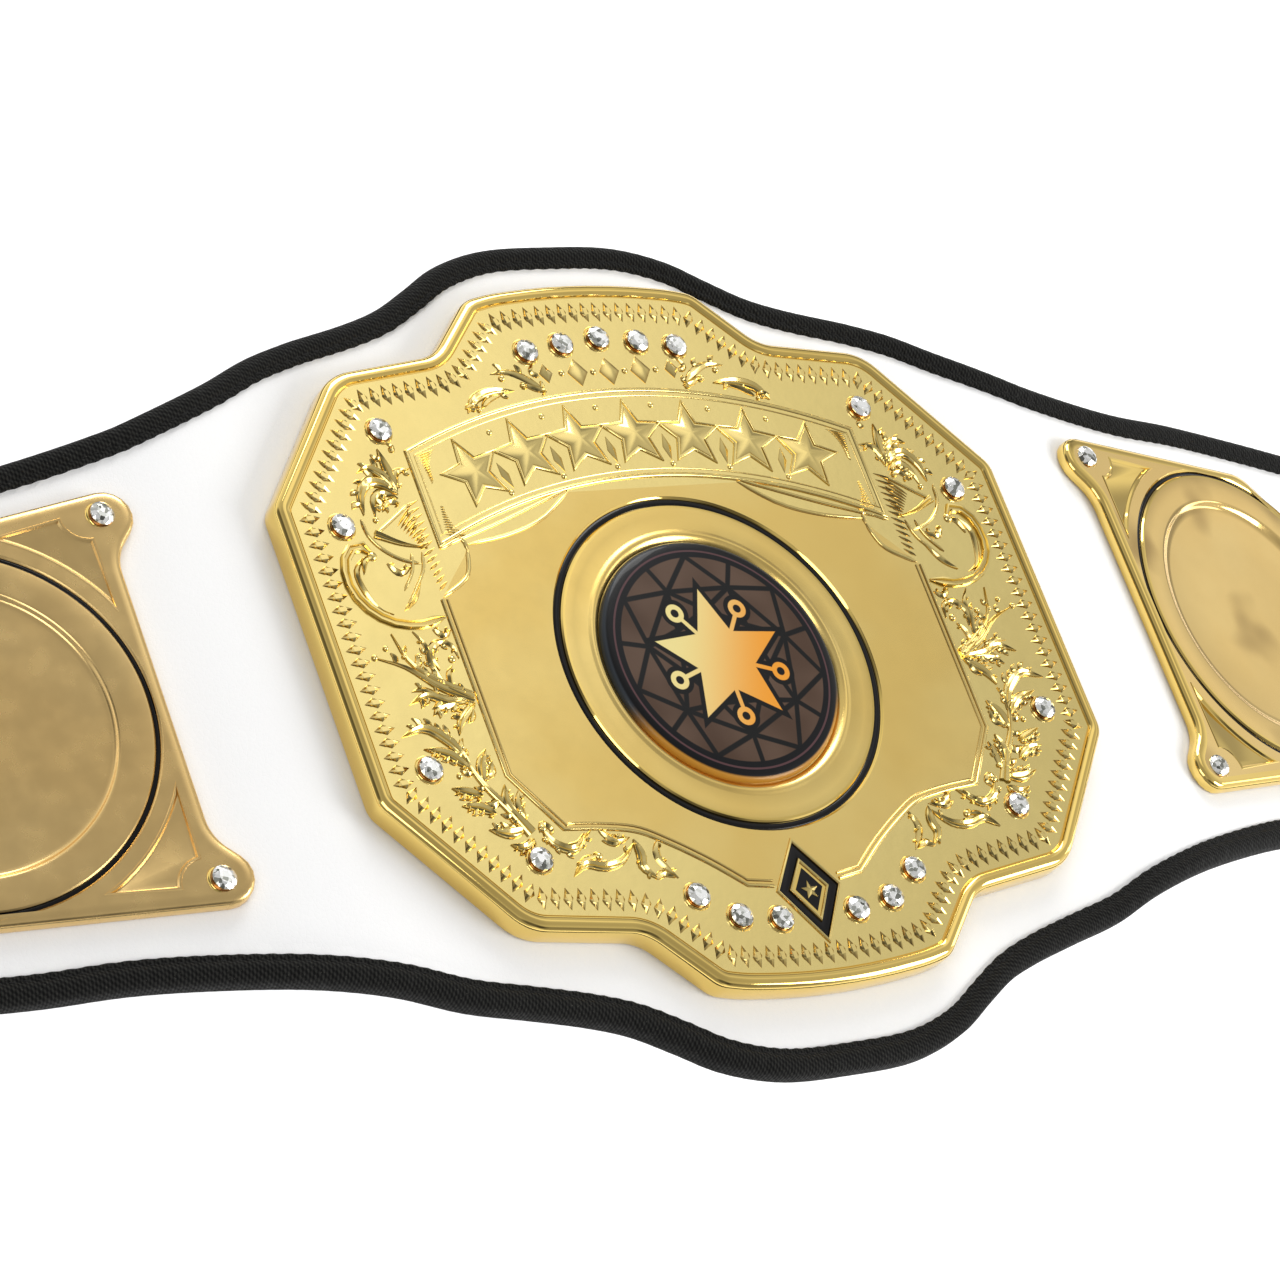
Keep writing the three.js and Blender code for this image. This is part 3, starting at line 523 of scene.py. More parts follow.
# Points spread evenly along a smooth curve through the given ones.
def smoothPath(points, count):
    points = [np.array(p, float) for p in points]
    if len(points) == 2:
        points.insert(1, (points[0] + points[1]) / 2)
    ring = [2 * points[0] - points[1]] + points + [2 * points[-1] - points[-2]]
    dense = []
    for a, b, c, d in zip(ring, ring[1:], ring[2:], ring[3:]):
        ta = 0.0
        tb = ta + max(np.linalg.norm(b - a), 1e-6) ** 0.5
        tc = tb + max(np.linalg.norm(c - b), 1e-6) ** 0.5
        td = tc + max(np.linalg.norm(d - c), 1e-6) ** 0.5
        for t in np.linspace(tb, tc, 16, endpoint=False):
            ab = (tb - t) / (tb - ta) * a + (t - ta) / (tb - ta) * b
            bc = (tc - t) / (tc - tb) * b + (t - tb) / (tc - tb) * c
            cd = (td - t) / (td - tc) * c + (t - tc) / (td - tc) * d
            abc = (tc - t) / (tc - ta) * ab + (t - ta) / (tc - ta) * bc
            bcd = (td - t) / (td - tb) * bc + (t - tb) / (td - tb) * cd
            dense.append((tc - t) / (tc - tb) * abc + (t - tb) / (tc - tb) * bcd)
    dense.append(points[-1])
    return evenPath(np.array(dense), count)


def evenPath(dense, count, closed=False):
    reach = np.concatenate(([0], np.cumsum(np.linalg.norm(np.diff(dense, axis=0), axis=1))))
    spots = np.linspace(0, reach[-1], count, endpoint=not closed)
    return np.stack([np.interp(spots, reach, dense[:, k]) for k in range(dense.shape[1])], 1)


sections = {  # across from -1 to 1, height from 0 to 1
    "ridge": [(-1, 0), (-0.62, 0.5), (0, 1), (0.62, 0.5), (1, 0)],
    "round": [(-1, 0), (-0.87, 0.5), (-0.5, 0.87), (0, 1), (0.5, 0.87), (0.87, 0.5), (1, 0)],
    "vein": [(-1, 0), (-0.86, 0.62), (-0.55, 0.95), (0, 0.42), (0.55, 1), (0.86, 0.66), (1, 0)],
    "split": [(-1, 0), (-0.78, 1), (-0.45, 1), (-0.22, 0.3), (0.22, 0.3), (0.45, 1), (0.78, 1), (1, 0)],
}


def leafShare(t):
    return np.maximum(np.sin(np.pi * np.clip(t, 0, 1) ** 0.8) ** 0.7, 0.06)


def dropShare(t):
    return np.maximum(np.minimum(1, (t / 0.18) ** 0.5) * (1 - t) ** 0.6, 0.06)


def stemShare(t):
    return np.maximum(1 - 0.92 * t, 0.08)


def lineShare(t):
    return np.clip(np.minimum(t, 1 - t) / 0.05, 0.25, 1)


shares = {"leaf": leafShare, "drop": dropShare, "stem": stemShare, "line": lineShare}


# A raised stroke on a flat face along a path. Half width and height are numbers or lists.
def addStroke(shell, path, halves, heights, face, section="round", closed=False, sink=0.35):
    before = np.roll(path, 1, 0) if closed else np.vstack((path[:1] * 2 - path[1:2], path[:-1]))
    after = np.roll(path, -1, 0) if closed else np.vstack((path[1:], path[-1:] * 2 - path[-2:-1]))
    arrive = path - before
    leave = after - path
    arrive /= np.linalg.norm(arrive, axis=1)[:, None] + 1e-9
    leave /= np.linalg.norm(leave, axis=1)[:, None] + 1e-9
    normalA = np.stack((-arrive[:, 1], arrive[:, 0]), 1)
    normalB = np.stack((-leave[:, 1], leave[:, 0]), 1)
    both = (normalA + normalB) / np.maximum(1 + (normalA * normalB).sum(1), 0.5)[:, None]
    both *= np.broadcast_to(halves, len(path))[:, None]
    rings = []
    for middle, reach, high in zip(path, both, np.broadcast_to(heights, len(path))):
        ring = [(*(middle + reach * u), face + high * v) for u, v in sections[section]]
        rings.append(ring + [(*(middle + reach), face - sink), (*(middle - reach), face - sink)])
    if closed:
        rings.append(rings[0])
    shell.loft(rings, caps=(not closed, not closed))


def addDome(shell, x, y, radius, height, face):
    first, sides = len(shell.points), 10
    profile = [(1, -0.3), (1, 0), (0.84, 0.55 * height), (0.5, 0.88 * height), (0, height)]
    addTurned(shell, [(reach * radius, z) for reach, z in profile], sides, (x, y), face)
    shell.faces.append(tuple(reversed(range(first, first + sides))))
    shell.kinds.append(0)


# A surface of revolution from (radius, z) pairs; it closes at a radius of 0 and joins up when ring is set.
def addTurned(shell, profile, around=roundSteps, place=(0, 0), base=0.0, kind=0, ring=False):
    first = len(shell.faces)
    starts = []
    for r, z in profile:
        starts.append((len(shell.points), r))
        if r < 1e-6:
            shell.points.append((*place, base + z))
            continue
        shell.points += [(place[0] + r * math.cos(a), place[1] + r * math.sin(a), base + z)
                         for a in np.arange(around) * 2 * math.pi / around]
    pairs = list(zip(starts, starts[1:])) + ([(starts[-1], starts[0])] if ring else [])
    for (a, ra), (b, rb) in pairs:
        for k in range(around):
            n = (k + 1) % around
            if ra < 1e-6:
                shell.faces.append((a, b + n, b + k))
            elif rb < 1e-6:
                shell.faces.append((a + k, a + n, b))
            else:
                shell.faces.append((a + k, a + n, b + n, b + k))
    shell.kinds += [kind] * (len(shell.faces) - first)


# Triangles between an outer loop and the loops inside it, all in one plane.
def flatFill(loops):
    points = []
    edges = []
    for loop in loops:
        first = len(points)
        points.extend(Vector((float(p[0]), float(p[1]))) for p in loop)
        edges.extend((first + k, first + (k + 1) % len(loop)) for k in range(len(loop)))
    made, _, faces, *_ = geometry.delaunay_2d_cdt(points, edges, [], 0, 1e-5)
    return [tuple(p) for p in made], [tuple(f) for f in faces]


def faceMiddle(points, corners):
    return [sum(points[i][axis] for i in corners) / 3 for axis in (0, 1)]


def insideLoop(x, y, loop):
    hit = False
    for (ax, ay), (bx, by) in zip(loop, np.roll(loop, -1, 0)):
        if (ay > y) != (by > y) and x < (bx - ax) * (y - ay) / (by - ay) + ax:
            hit = not hit
    return hit


# The belt's way over what it lies on, as in the part

belt = {
    "halfLength": 615.0, "centreHalf": 106.0, "centreHigh": 95.75, "sideHigh": 52.3, "sideAlong": 191.3,
    "endHigh": 42.0, "endRound": 30.0, "centreMargin": 16.0, "sideMargin": 12.2,
    "tilt": math.radians(11.7), "middle": 35.14605, "bend": 30.0, "slope": 107.8, "footRadius": 300.0,
    "half": 2.5, "edgeHalf": 2.1, "pressed": 10.0, "faceHigh": 2.8,
}
stretches = [  # lengths along the strap and how far each turns down
    (belt["centreHalf"], 0.0), (belt["bend"], belt["tilt"]), (belt["slope"], 0.0),
    (belt["footRadius"] * belt["tilt"], -belt["tilt"]),
]
strapEdge = [  # plate, gap, tail, rise, fall
    (0, 0, 0, 1, 0), (0.19, 0, 0, 0.98, 0), (0.33, 0, 0, 0.885, 0), (0.425, 0, 0, 0.762, 0),
    (0.52, 0, 0, 0.645, 0), (0.615, 0, 0, 0.571, 0), (0.755, 0, 0, 0.491, 0), (0.9, 0, 0, 0.413, 0),
    (1, 0.05, 0, 0.296, 0), (1, 0.28, 0, 0.18, 0), (1, 0.52, 0, 0.091, 0), (1, 0.75, 0, 0.03, 0),
    (1, 1, 0, 0, 0), (1, 1, 0.07, 0, 0.156), (1, 1, 0.14, 0, 0.333), (1, 1, 0.27, 0, 0.6),
    (1, 1, 0.5, 0, 0.822), (1, 1, 0.87, 0, 1),
]


def followArch(along):
    x = z = slope = 0.0
    left = along
    for length, turn in stretches:
        part = min(left, length)
        bend = turn / length
        ahead = slope + bend * part
        if bend == 0:
            x += math.cos(ahead) * part
            z -= math.sin(ahead) * part
        else:
            x += (math.sin(ahead) - math.sin(slope)) / bend
            z += (math.cos(ahead) - math.cos(slope)) / bend
        slope = ahead
        left -= part
    return x + left, z, slope


def lay(along, y, out):
    x, z, slope = followArch(abs(along))
    hand = -1 if along < 0 else 1
    return (hand * (x + math.sin(slope) * out), y, belt["middle"] + z + math.cos(slope) * out)


def strapTop():  # upper edge of the strap from the left end to the right, as (along, y)
    middleHigh = belt["centreHigh"] + belt["centreMargin"]
    sideHigh = belt["sideHigh"] + belt["sideMargin"]
    beyond = belt["halfLength"] - belt["sideAlong"]
    spots = []
    for plate, gap, tail, rise, fall in strapEdge:
        along = plate * belt["centreHalf"] + gap * (belt["sideAlong"] - belt["centreHalf"]) + tail * beyond
        spots.append((along, sideHigh + rise * (middleHigh - sideHigh) + fall * (belt["endHigh"] - sideHigh)))
    spots = [(-x, y) for x, y in reversed(spots[1:])] + spots
    run = smoothPath(spots, 1400)
    hubX, hubY = belt["halfLength"] - belt["endRound"], belt["endHigh"] - belt["endRound"]
    run = run[np.abs(run[:, 0]) < hubX - 0.5]
    angles = np.linspace(math.pi / 2, 0, 24)
    corner = np.stack((hubX + belt["endRound"] * np.cos(angles), hubY + belt["endRound"] * np.sin(angles)), 1)
    return np.vstack((corner[::-1] * (-1, 1), run, corner))


sag = {"by": 4.3, "start": 82, "full": 134, "fade": 320, "end": 520}  # upper edge lower by the side plates


def sagAt(along):
    along = np.abs(along)
    grows = np.clip((along - sag["start"]) / (sag["full"] - sag["start"]), 0, 1)
    fades = np.clip((sag["end"] - along) / (sag["end"] - sag["fade"]), 0, 1)
    return sag["by"] * grows * fades


topEdge = strapTop()
upperEdge = topEdge - np.stack((np.zeros(len(topEdge)), sagAt(topEdge[:, 0])), 1)


# Strap: padded panel, pressed along its edge, with soft dimples

strapLook = {
    "inset": 1.5, "step": 2.6, "dip": 0.35, "dipReach": 4.0, "wave": 0.16,
    "rows": [0, 1.2, 3, 5, 6.6, 8, 10, 13, 18], "across": 7, "puckerPitch": 3.7, "puckerReach": 8.2,
    "ends": [0, 0.6, 1.5, 3, 5, 8, 12, 17, 23],  # first stations from an end
}


def makeStrap():
    look = strapLook
    reach = belt["halfLength"] - look["inset"]
    ends = np.array(look["ends"])
    between = np.arange(28.5 - reach, reach - 28, look["step"])
    stations = np.concatenate((ends - reach, between, reach - ends[::-1]))
    highs = np.interp(stations, topEdge[:, 0], topEdge[:, 1]) - look["inset"]
    uppers = np.interp(stations, upperEdge[:, 0], upperEdge[:, 1]) - look["inset"]
    rings = []
    puckers = []
    for s, high, upper in zip(stations, highs, uppers):
        squeeze = min(1.0, high / 30)
        depths = [d * squeeze for d in look["rows"]]
        depths += list(np.linspace(depths[-1], high, look["across"] + 1)[1:])
        rows = [(-high + d, d) for d in depths] + [(high - d, d) for d in reversed(depths[:-1])]
        ring = []
        for side in (1, -1):
            for y, depth in (rows if side > 0 else reversed(rows)):
                near = min(depth, reach - abs(s))
                half = belt["edgeHalf"] + (belt["half"] - belt["edgeHalf"]) * min(near / belt["pressed"], 1)
                dip = look["dip"] * math.exp(-((near - 5) / look["dipReach"]) ** 2)
                swing = math.sin(s * 0.083 + 1.3 * math.sin(y * 0.041)) + math.sin(y * 0.11 + s * 0.037)
                wave = look["wave"] * (0.5 + 0.25 * swing)
                ring.append(lay(s, y * upper / high if y > 0 else y, side * (half - dip - wave)))
                puckers.append((s, near, y))
        rings.append(ring)
    shell = Shell()
    shell.loft(rings)
    piece = shell.build("paddedStrap", [leatherFinish()], 50)
    values = []
    for s, near, y in puckers:
        fold = 0.5 + 0.5 * math.sin(2 * math.pi * s / look["puckerPitch"] + 2.1 * math.sin(s * 0.21 + y))
        values.append(fold * max(0.0, 1 - near / look["puckerReach"]))
    layer = piece.data.attributes.new("pucker", "FLOAT", "POINT")
    layer.data.foreach_set("value", values)
    return piece


# Binding: folded tape, sewn near its lip

tape = {
    "width": 6.5, "step": 0.95, "lip": 1.2, "swell": 0.10,
    "ripple": 0.12, "ripplePitch": 3.7, "rippleUp": 0.07,
    "sewn": 4.9, "stitchPitch": 3.1, "stitchLong": 2.1, "stitchWide": 0.55, "stitchHigh": 3.06,
    "section": [  # (depth in from the edge, half thickness)
        (0.0, 0.9), (0.12, 1.9), (0.62, 2.85), (1.4, 3.5), (2.4, 3.86), (3.4, 3.9), (4.2, 3.6), (4.75, 3.12),
        (5.1, 3.02), (5.5, 3.22), (6.0, 3.16), (6.45, 2.8), (6.4, 2.2)],
}


def bindingPath():
    loop = np.vstack((upperEdge[::-1], topEdge * (1, -1)))
    closedLoop = np.vstack((loop, loop[:1]))
    length = np.linalg.norm(np.diff(closedLoop, axis=0), axis=1).sum()
    path = evenPath(closedLoop, int(length / tape["step"]), closed=True)
    for _ in range(3):
        path = (np.roll(path, 1, 0) + 2 * path + np.roll(path, -1, 0)) / 4
    ahead = np.roll(path, -1, 0) - np.roll(path, 1, 0)
    ahead /= np.linalg.norm(ahead, axis=1)[:, None]
    return path, np.stack((ahead[:, 1], -ahead[:, 0]), 1)


def makeBinding(finish):
    path, outward = bindingPath()
    section = tape["section"]
    full = section + [(a, -z) for a, z in reversed(section)]
    rings = []
    for k, (p, o) in enumerate(zip(path, outward)):
        s = k * tape["step"]
        swing = math.sin(2 * math.pi * s / tape["ripplePitch"] + 1.8 * math.sin(s * 0.13))
        slow = math.sin(s * 0.045) + math.sin(s * 0.019 + 2)
        ring = []
        for a, z in full:
            lip = min(max((a - tape["sewn"]) / tape["lip"], 0), 1)
            swell = tape["swell"] * (slow * math.sin(math.pi * min(a / 5, 1)) - abs(slow))
            depth = a + tape["ripple"] * swing * lip
            up = z + math.copysign(swell + tape["rippleUp"] * swing * (1 if a > 1 else 0.4), z)
            ring.append(lay(p[0] - o[0] * depth, p[1] - o[1] * depth, up))
        rings.append(ring)
    rings.append(rings[0])
    shell = Shell()
    shell.loft(rings, caps=(False, False))
    piece = shell.build("boundEdge", [finish], 70)
    across = [0.0]
    for (a, z), (b, w) in zip(full, full[1:] + full[:1]):
        across.append(across[-1] + math.hypot(b - a, w - z))
    layer = piece.data.uv_layers.new(name="weave")
    count = len(full)
    spots = np.zeros((len(piece.data.loops), 2))
    for polygon in piece.data.polygons:
        rows = [piece.data.loops[i].vertex_index // count for i in polygon.loop_indices]
        columns = [piece.data.loops[i].vertex_index % count for i in polygon.loop_indices]
        turn = max(columns) - min(columns) > 1
        for i, row, column in zip(polygon.loop_indices, rows, columns):
            spots[i] = (row * tape["step"], across[count] if turn and column == 0 else across[column])
    layer.data.foreach_set("uv", spots.ravel())
    return piece, path, outward


# Geometry Nodes: copies of a shape at an even pitch along a path, or one at each point

def repeatTree(name, sizes):
    tree = bpy.data.node_groups.new(name, "GeometryNodeTree")
    kinds = {"Geometry": "Geometry", "Shape": "Object", "Finish": "Material", **dict.fromkeys(sizes, "Float")}
    for socket, kind in kinds.items():
        tree.interface.new_socket(socket, in_out="INPUT", socket_type="NodeSocket" + kind)
    tree.interface.new_socket("Geometry", in_out="OUTPUT", socket_type="NodeSocketGeometry")

    def node(kind, settings=None, links=None):
        made = tree.nodes.new(kind)
        for key, value in (settings or {}).items():
            setattr(made, key, value)
        for key, value in (links or {}).items():
            if isinstance(value, bpy.types.NodeSocket):
                tree.links.new(value, made.inputs[key])
            else:
                made.inputs[key].default_value = value
        return made.outputs

    return tree, node


def placeCopies(node, source, points, rotation, scale):  # ends a tree
    size = node("ShaderNodeCombineXYZ", {}, {axis: source[name] for axis, name in zip("XYZ", scale)})
    thing = node("GeometryNodeObjectInfo", {}, {"Object": source["Shape"]})
    copies = node("GeometryNodeInstanceOnPoints", {}, {"Points": points, "Instance": thing["Geometry"],
                                                       "Rotation": rotation, "Scale": size["Vector"]})
    real = node("GeometryNodeRealizeInstances", {}, {"Geometry": copies["Instances"]})
    painted = node("GeometryNodeSetMaterial", {}, {"Geometry": real["Geometry"],
                                                   "Material": source["Finish"]})
    node("NodeGroupOutput", {}, {"Geometry": painted["Geometry"]})


def alongPath(name, points, shape, finish, sizes):
    tree, node = repeatTree(name, ["Pitch", "Long", "Wide", "High"])
    source = node("NodeGroupInput")
    curve = node("GeometryNodeMeshToCurve", {}, {"Mesh": source["Geometry"]})
    spots = node("GeometryNodeCurveToPoints", {"mode": "LENGTH"}, {"Curve": curve["Curve"],
                                                                   "Length": source["Pitch"]})
    turn = node("FunctionNodeAlignRotationToVector", {"axis": "X", "pivot_axis": "Z"},
                {"Vector": spots["Tangent"]})
    placeCopies(node, source, spots["Points"], turn["Rotation"], ("Long", "Wide", "High"))
    ring = [(k, (k + 1) % len(points)) for k in range(len(points))]
    return finishRepeat(name, tree, points, ring, shape, finish, sizes)


def atSpots(name, points, shape, finish, sizes):  # one copy at each point, each turned its own way
    tree, node = repeatTree(name, ["Across", "High", "Turn"])
    source = node("NodeGroupInput")
    spots = node("GeometryNodeMeshToPoints", {}, {"Mesh": source["Geometry"]})
    spin = node("FunctionNodeRandomValue", {"data_type": "FLOAT"}, {3: source["Turn"], "Seed": 11})
    angles = node("ShaderNodeCombineXYZ", {}, {"Z": spin[1]})
    turn = node("FunctionNodeEulerToRotation", {}, {"Euler": angles["Vector"]})
    placeCopies(node, source, spots["Points"], turn["Rotation"], ("Across", "Across", "High"))
    return finishRepeat(name, tree, points, [], shape, finish, sizes)


def runTree(tree, carrier, values):  # sets the inputs, bakes the result and returns its mesh
    modifier = carrier.modifiers.new(tree.name, "NODES")
    modifier.node_group = tree
    for item in tree.interface.items_tree:
        if item.in_out == "INPUT" and item.name in values:
            modifier[item.identifier] = values[item.name]
    carrier.update_tag()
    bpy.context.view_layer.update()
    baked = bpy.data.meshes.new_from_object(carrier.evaluated_get(bpy.context.evaluated_depsgraph_get()))
    carrier.modifiers.remove(modifier)
    return baked


def finishRepeat(name, tree, points, edges, shape, finish, sizes):
    carrierMesh = bpy.data.meshes.new(name + "Path")
    carrierMesh.from_pydata([tuple(v * mm for v in p) for p in points], edges, [])
    carrier = bpy.data.objects.new(name + "Path", carrierMesh)
    bpy.context.scene.collection.objects.link(carrier)
    baked = runTree(tree, carrier, {"Shape": shape, "Finish": finish, **sizes})
    bpy.data.objects.remove(carrier)
    bpy.data.objects.remove(shape)
    baked.name = name
    piece = bpy.data.objects.new(name, baked)
    bpy.context.scene.collection.objects.link(piece)
    return piece


# Centre plate

plate = {
    "corners": [  # a quarter's, as shares of the half width, the half height and the corner radius
        (0, 1.004, 24), (0.255, 0.972, 7), (0.318, 0.955, 1), (0.455, 0.798, 1.5), (0.745, 0.755, 1.7),
        (1, 0.4, 0.8)],
    "round": 8.0, "lift": 1.7, "face": 43.946, "medal": (0.0, -8.546),
    "rim": [  # (inset from the outline, height over the face)
        (0.7, -6.0), (0.15, -5.85), (0, -5.5), (0, -1.3), (0.1, -0.72), (0.34, -0.2), (0.72, 0.22),
        (1.2, 0.5), (1.7, 0.64), (2.3, 0.68), (2.9, 0.6), (3.3, 0.42), (3.5, 0.12), (3.64, -0.18),
        (3.82, -0.18), (3.98, 0.0), (4.1, 0.0)],
    "panelTop": [(-25, 47.6), (-35, 41), (-46, 37.4), (-58.2, 35.6), (-60.5, 32.2), (-66, 26.6)],
    "panel": [(-70.6, 21.5), (-70.6, -24), (-60.6, -38.6), (-50, -39.6), (-41, -41.4), (-34.5, -44.8),
              (-25, -51), (-16.6, -57.6), (-9.6, -58.6)],
}


def centreCorners():
    wide, tall, turn = belt["centreHalf"], belt["centreHigh"], plate["round"]
    quarter = [(a * wide, u * tall, r * turn) for a, u, r in plate["corners"]]
    upper = quarter[::-1] + [(-x, y, r) for x, y, r in quarter[1:]]
    lower = [(-x, -y, r) for x, y, r in quarter[::-1]] + [(x, -y, r) for x, y, r in quarter[1:]]
    return upper + lower


def toField(point):  # from the medal's middle to the model
    return (point[0], point[1] + plate["medal"][1])


medal = {  # profiles as (radius, height over the face)
    "groove": [(44.95, 0.0), (44.87, -0.11), (44.6, -0.26), (44.4, -0.5), (44.35, -0.95), (42.75, -0.95),
               (42.65, -0.3), (42.3, 0.05), (41.7, 0.1)],
    "seat": [(39.5, 0.1), (36.0, 0.1), (35.6, 0.15), (35.1, 0.33), (34.6, 0.4), (34.1, 0.33), (33.6, 0.08),
             (33.1, -0.3), (32.7, -0.7), (32.45, -0.95), (0, -1.0)],
    "enamel": [(42.7, -0.9), (42.75, -0.62), (43.0, -0.5), (43.55, -0.45), (44.1, -0.5), (44.33, -0.62),
               (44.38, -0.9)],
    "insert": [(0, -0.95), (32.15, -0.95), (32.25, -0.85), (32.25, -0.4), (32.1, 0.1), (31.65, 0.52),
               (30.8, 0.82), (29.3, 1.0), (26, 1.22), (20, 1.4), (10, 1.5), (0, 1.53)],
}
badge = {  # pocket and band as (inset from the lozenge, height over the face)
    "half": 8.5, "top": -58.79, "middle": -70.28, "low": -83.21,
    "pocket": [(-0.15, 0), (0, -0.9), (2.2, -0.9), (2.32, 0.02)],
    "band": [(0.05, -0.8), (0.1, -0.12), (0.5, -0.04), (1.7, -0.04), (2.15, -0.12), (2.2, -0.8)],
    "edges": [(-0.45, 0.4, 0.5), (2.62, 0.36, 0.5)],  # inset, half width, height
    "inner": 3.8, "innerHigh": 0.1, "star": 2.5, "waist": 0.42, "starHigh": 0.6,
}


def badgeCorners(inset):
    spots = np.array([(0, badge["low"]), (badge["half"], badge["middle"]), (0, badge["top"]),
                      (-badge["half"], badge["middle"])]) + (0, plate["lift"])
    return insetLoop(spots, inset)


def plateShell(corners, offset, rim, face, loops, panel=None):
    shell = Shell()
    rings = [atHeight(roundedOutline(corners, inset) + offset, face + z) for inset, z in rim]
    shell.loft(rings, caps=(True, False))
    outer = [p[:2] for p in rings[-1]]
    points, faces = flatFill([outer] + loops + ([panel] if panel is not None else []))
    kinds = [1 if panel is None or not insideLoop(*faceMiddle(points, f), panel) else 2 for f in faces]
    kept = [k for k, f in enumerate(faces) if insideLoop(*faceMiddle(points, f), outer)
            and not any(insideLoop(*faceMiddle(points, f), loop) for loop in loops)]
    shell.add([(x, y, face) for x, y in points], [faces[k] for k in kept])
    shell.kinds[-len(kept):] = [kinds[k] for k in kept]
    return shell


def weld(piece, sharp):
    work = bmesh.new()
    work.from_mesh(piece.data)
    bmesh.ops.remove_doubles(work, verts=work.verts, dist=0.004 * mm)
    bmesh.ops.recalc_face_normals(work, faces=work.faces)
    work.to_mesh(piece.data)
    work.free()
    piece.data.shade_smooth()
    piece.data.set_sharp_from_angle(angle=math.radians(sharp))
    return piece


def ringLoop(radius, place):
    angles = np.arange(roundSteps) * 2 * math.pi / roundSteps
    return np.stack((place[0] + radius * np.cos(angles), place[1] + radius * np.sin(angles)), 1)


banner = {
    "half": 66.4, "top": (75.3, 309.2), "low": (50.2, 286.0),  # each edge's middle height and bend
    "lift": 0.22, "edge": 0.62, "high": 0.58,
    "line": (2.3, 0.26, 0.42),  # inset, half width and height of the line inside the edge
    "stars": 7, "starPitch": 16.43, "star": 7.5, "waist": 0.45, "starDrop": 0.4, "starHigh": 1.0,
    "lozenge": (1.2, 3.7, 0.8), "lozengeDrop": 4.2, "beads": (-8.9, 7.6), "bead": (0.8, 0.55),
    "crestUp": 69.8975, "crestPitch": 9.328, "crestBead": (0.85, 0.6), "crestHigh": 0.9,
    "crest": [(2.0, 2.7), (3.0, 3.9), (3.0, 3.9), (3.0, 3.9), (2.0, 2.7)],  # lozenges over the banner
    "corner": 63.4, "strokes": 12, "strokePitch": 0.68, "strokeLean": 0.12,
    "strokeLong": 5.4, "strokeFade": 6, "strokeHalf": 0.25,
    "strokeRows": [(59.2, 1.7, -1), (38.2, -0.4, 1)],  # height of the first, rise, way on
}


def bannerCurve(which, xs):
    middle, bend = banner[which]
    return np.stack((xs, middle - xs ** 2 / bend + plate["medal"][1]), 1)


def bannerMiddle(x):
    spot = np.array([x])
    return float(bannerCurve("top", spot)[0, 1] + bannerCurve("low", spot)[0, 1]) / 2


def bannerLoop():
    xs = np.linspace(-banner["half"], banner["half"], 61)
    return np.vstack((bannerCurve("low", xs), bannerCurve("top", xs[::-1])))


def panelLoop():
    left = np.array([toField(p) for p in plate["panelTop"] + plate["panel"]])
    return np.vstack((left, left[::-1] * (-1, 1)))


def makeCentrePlate(golds):
    face = plate["face"]
    ring = ringLoop(medal["groove"][0][0], plate["medal"])
    rim = badgeCorners(badge["pocket"][0][0])
    shell = plateShell(centreCorners(), (0, plate["lift"]), plate["rim"], face, [ring, rim], panelLoop())
    for profile, kind in ((medal["groove"], 0), (medal["groove"][-1:] + medal["seat"], 2)):
        addTurned(shell, profile, place=plate["medal"], base=face, kind=kind)
    shell.loft([atHeight(badgeCorners(inset), face + z) for inset, z in badge["pocket"]], caps=(False, True))
    return weld(shell.build("castPlate", golds, outward=False), 32)


# Relief of the centre plate, left half, in millimetres from the medal's middle: kind, half width,
# path and, where any grow from it, the leaflets as (side, how many, length)

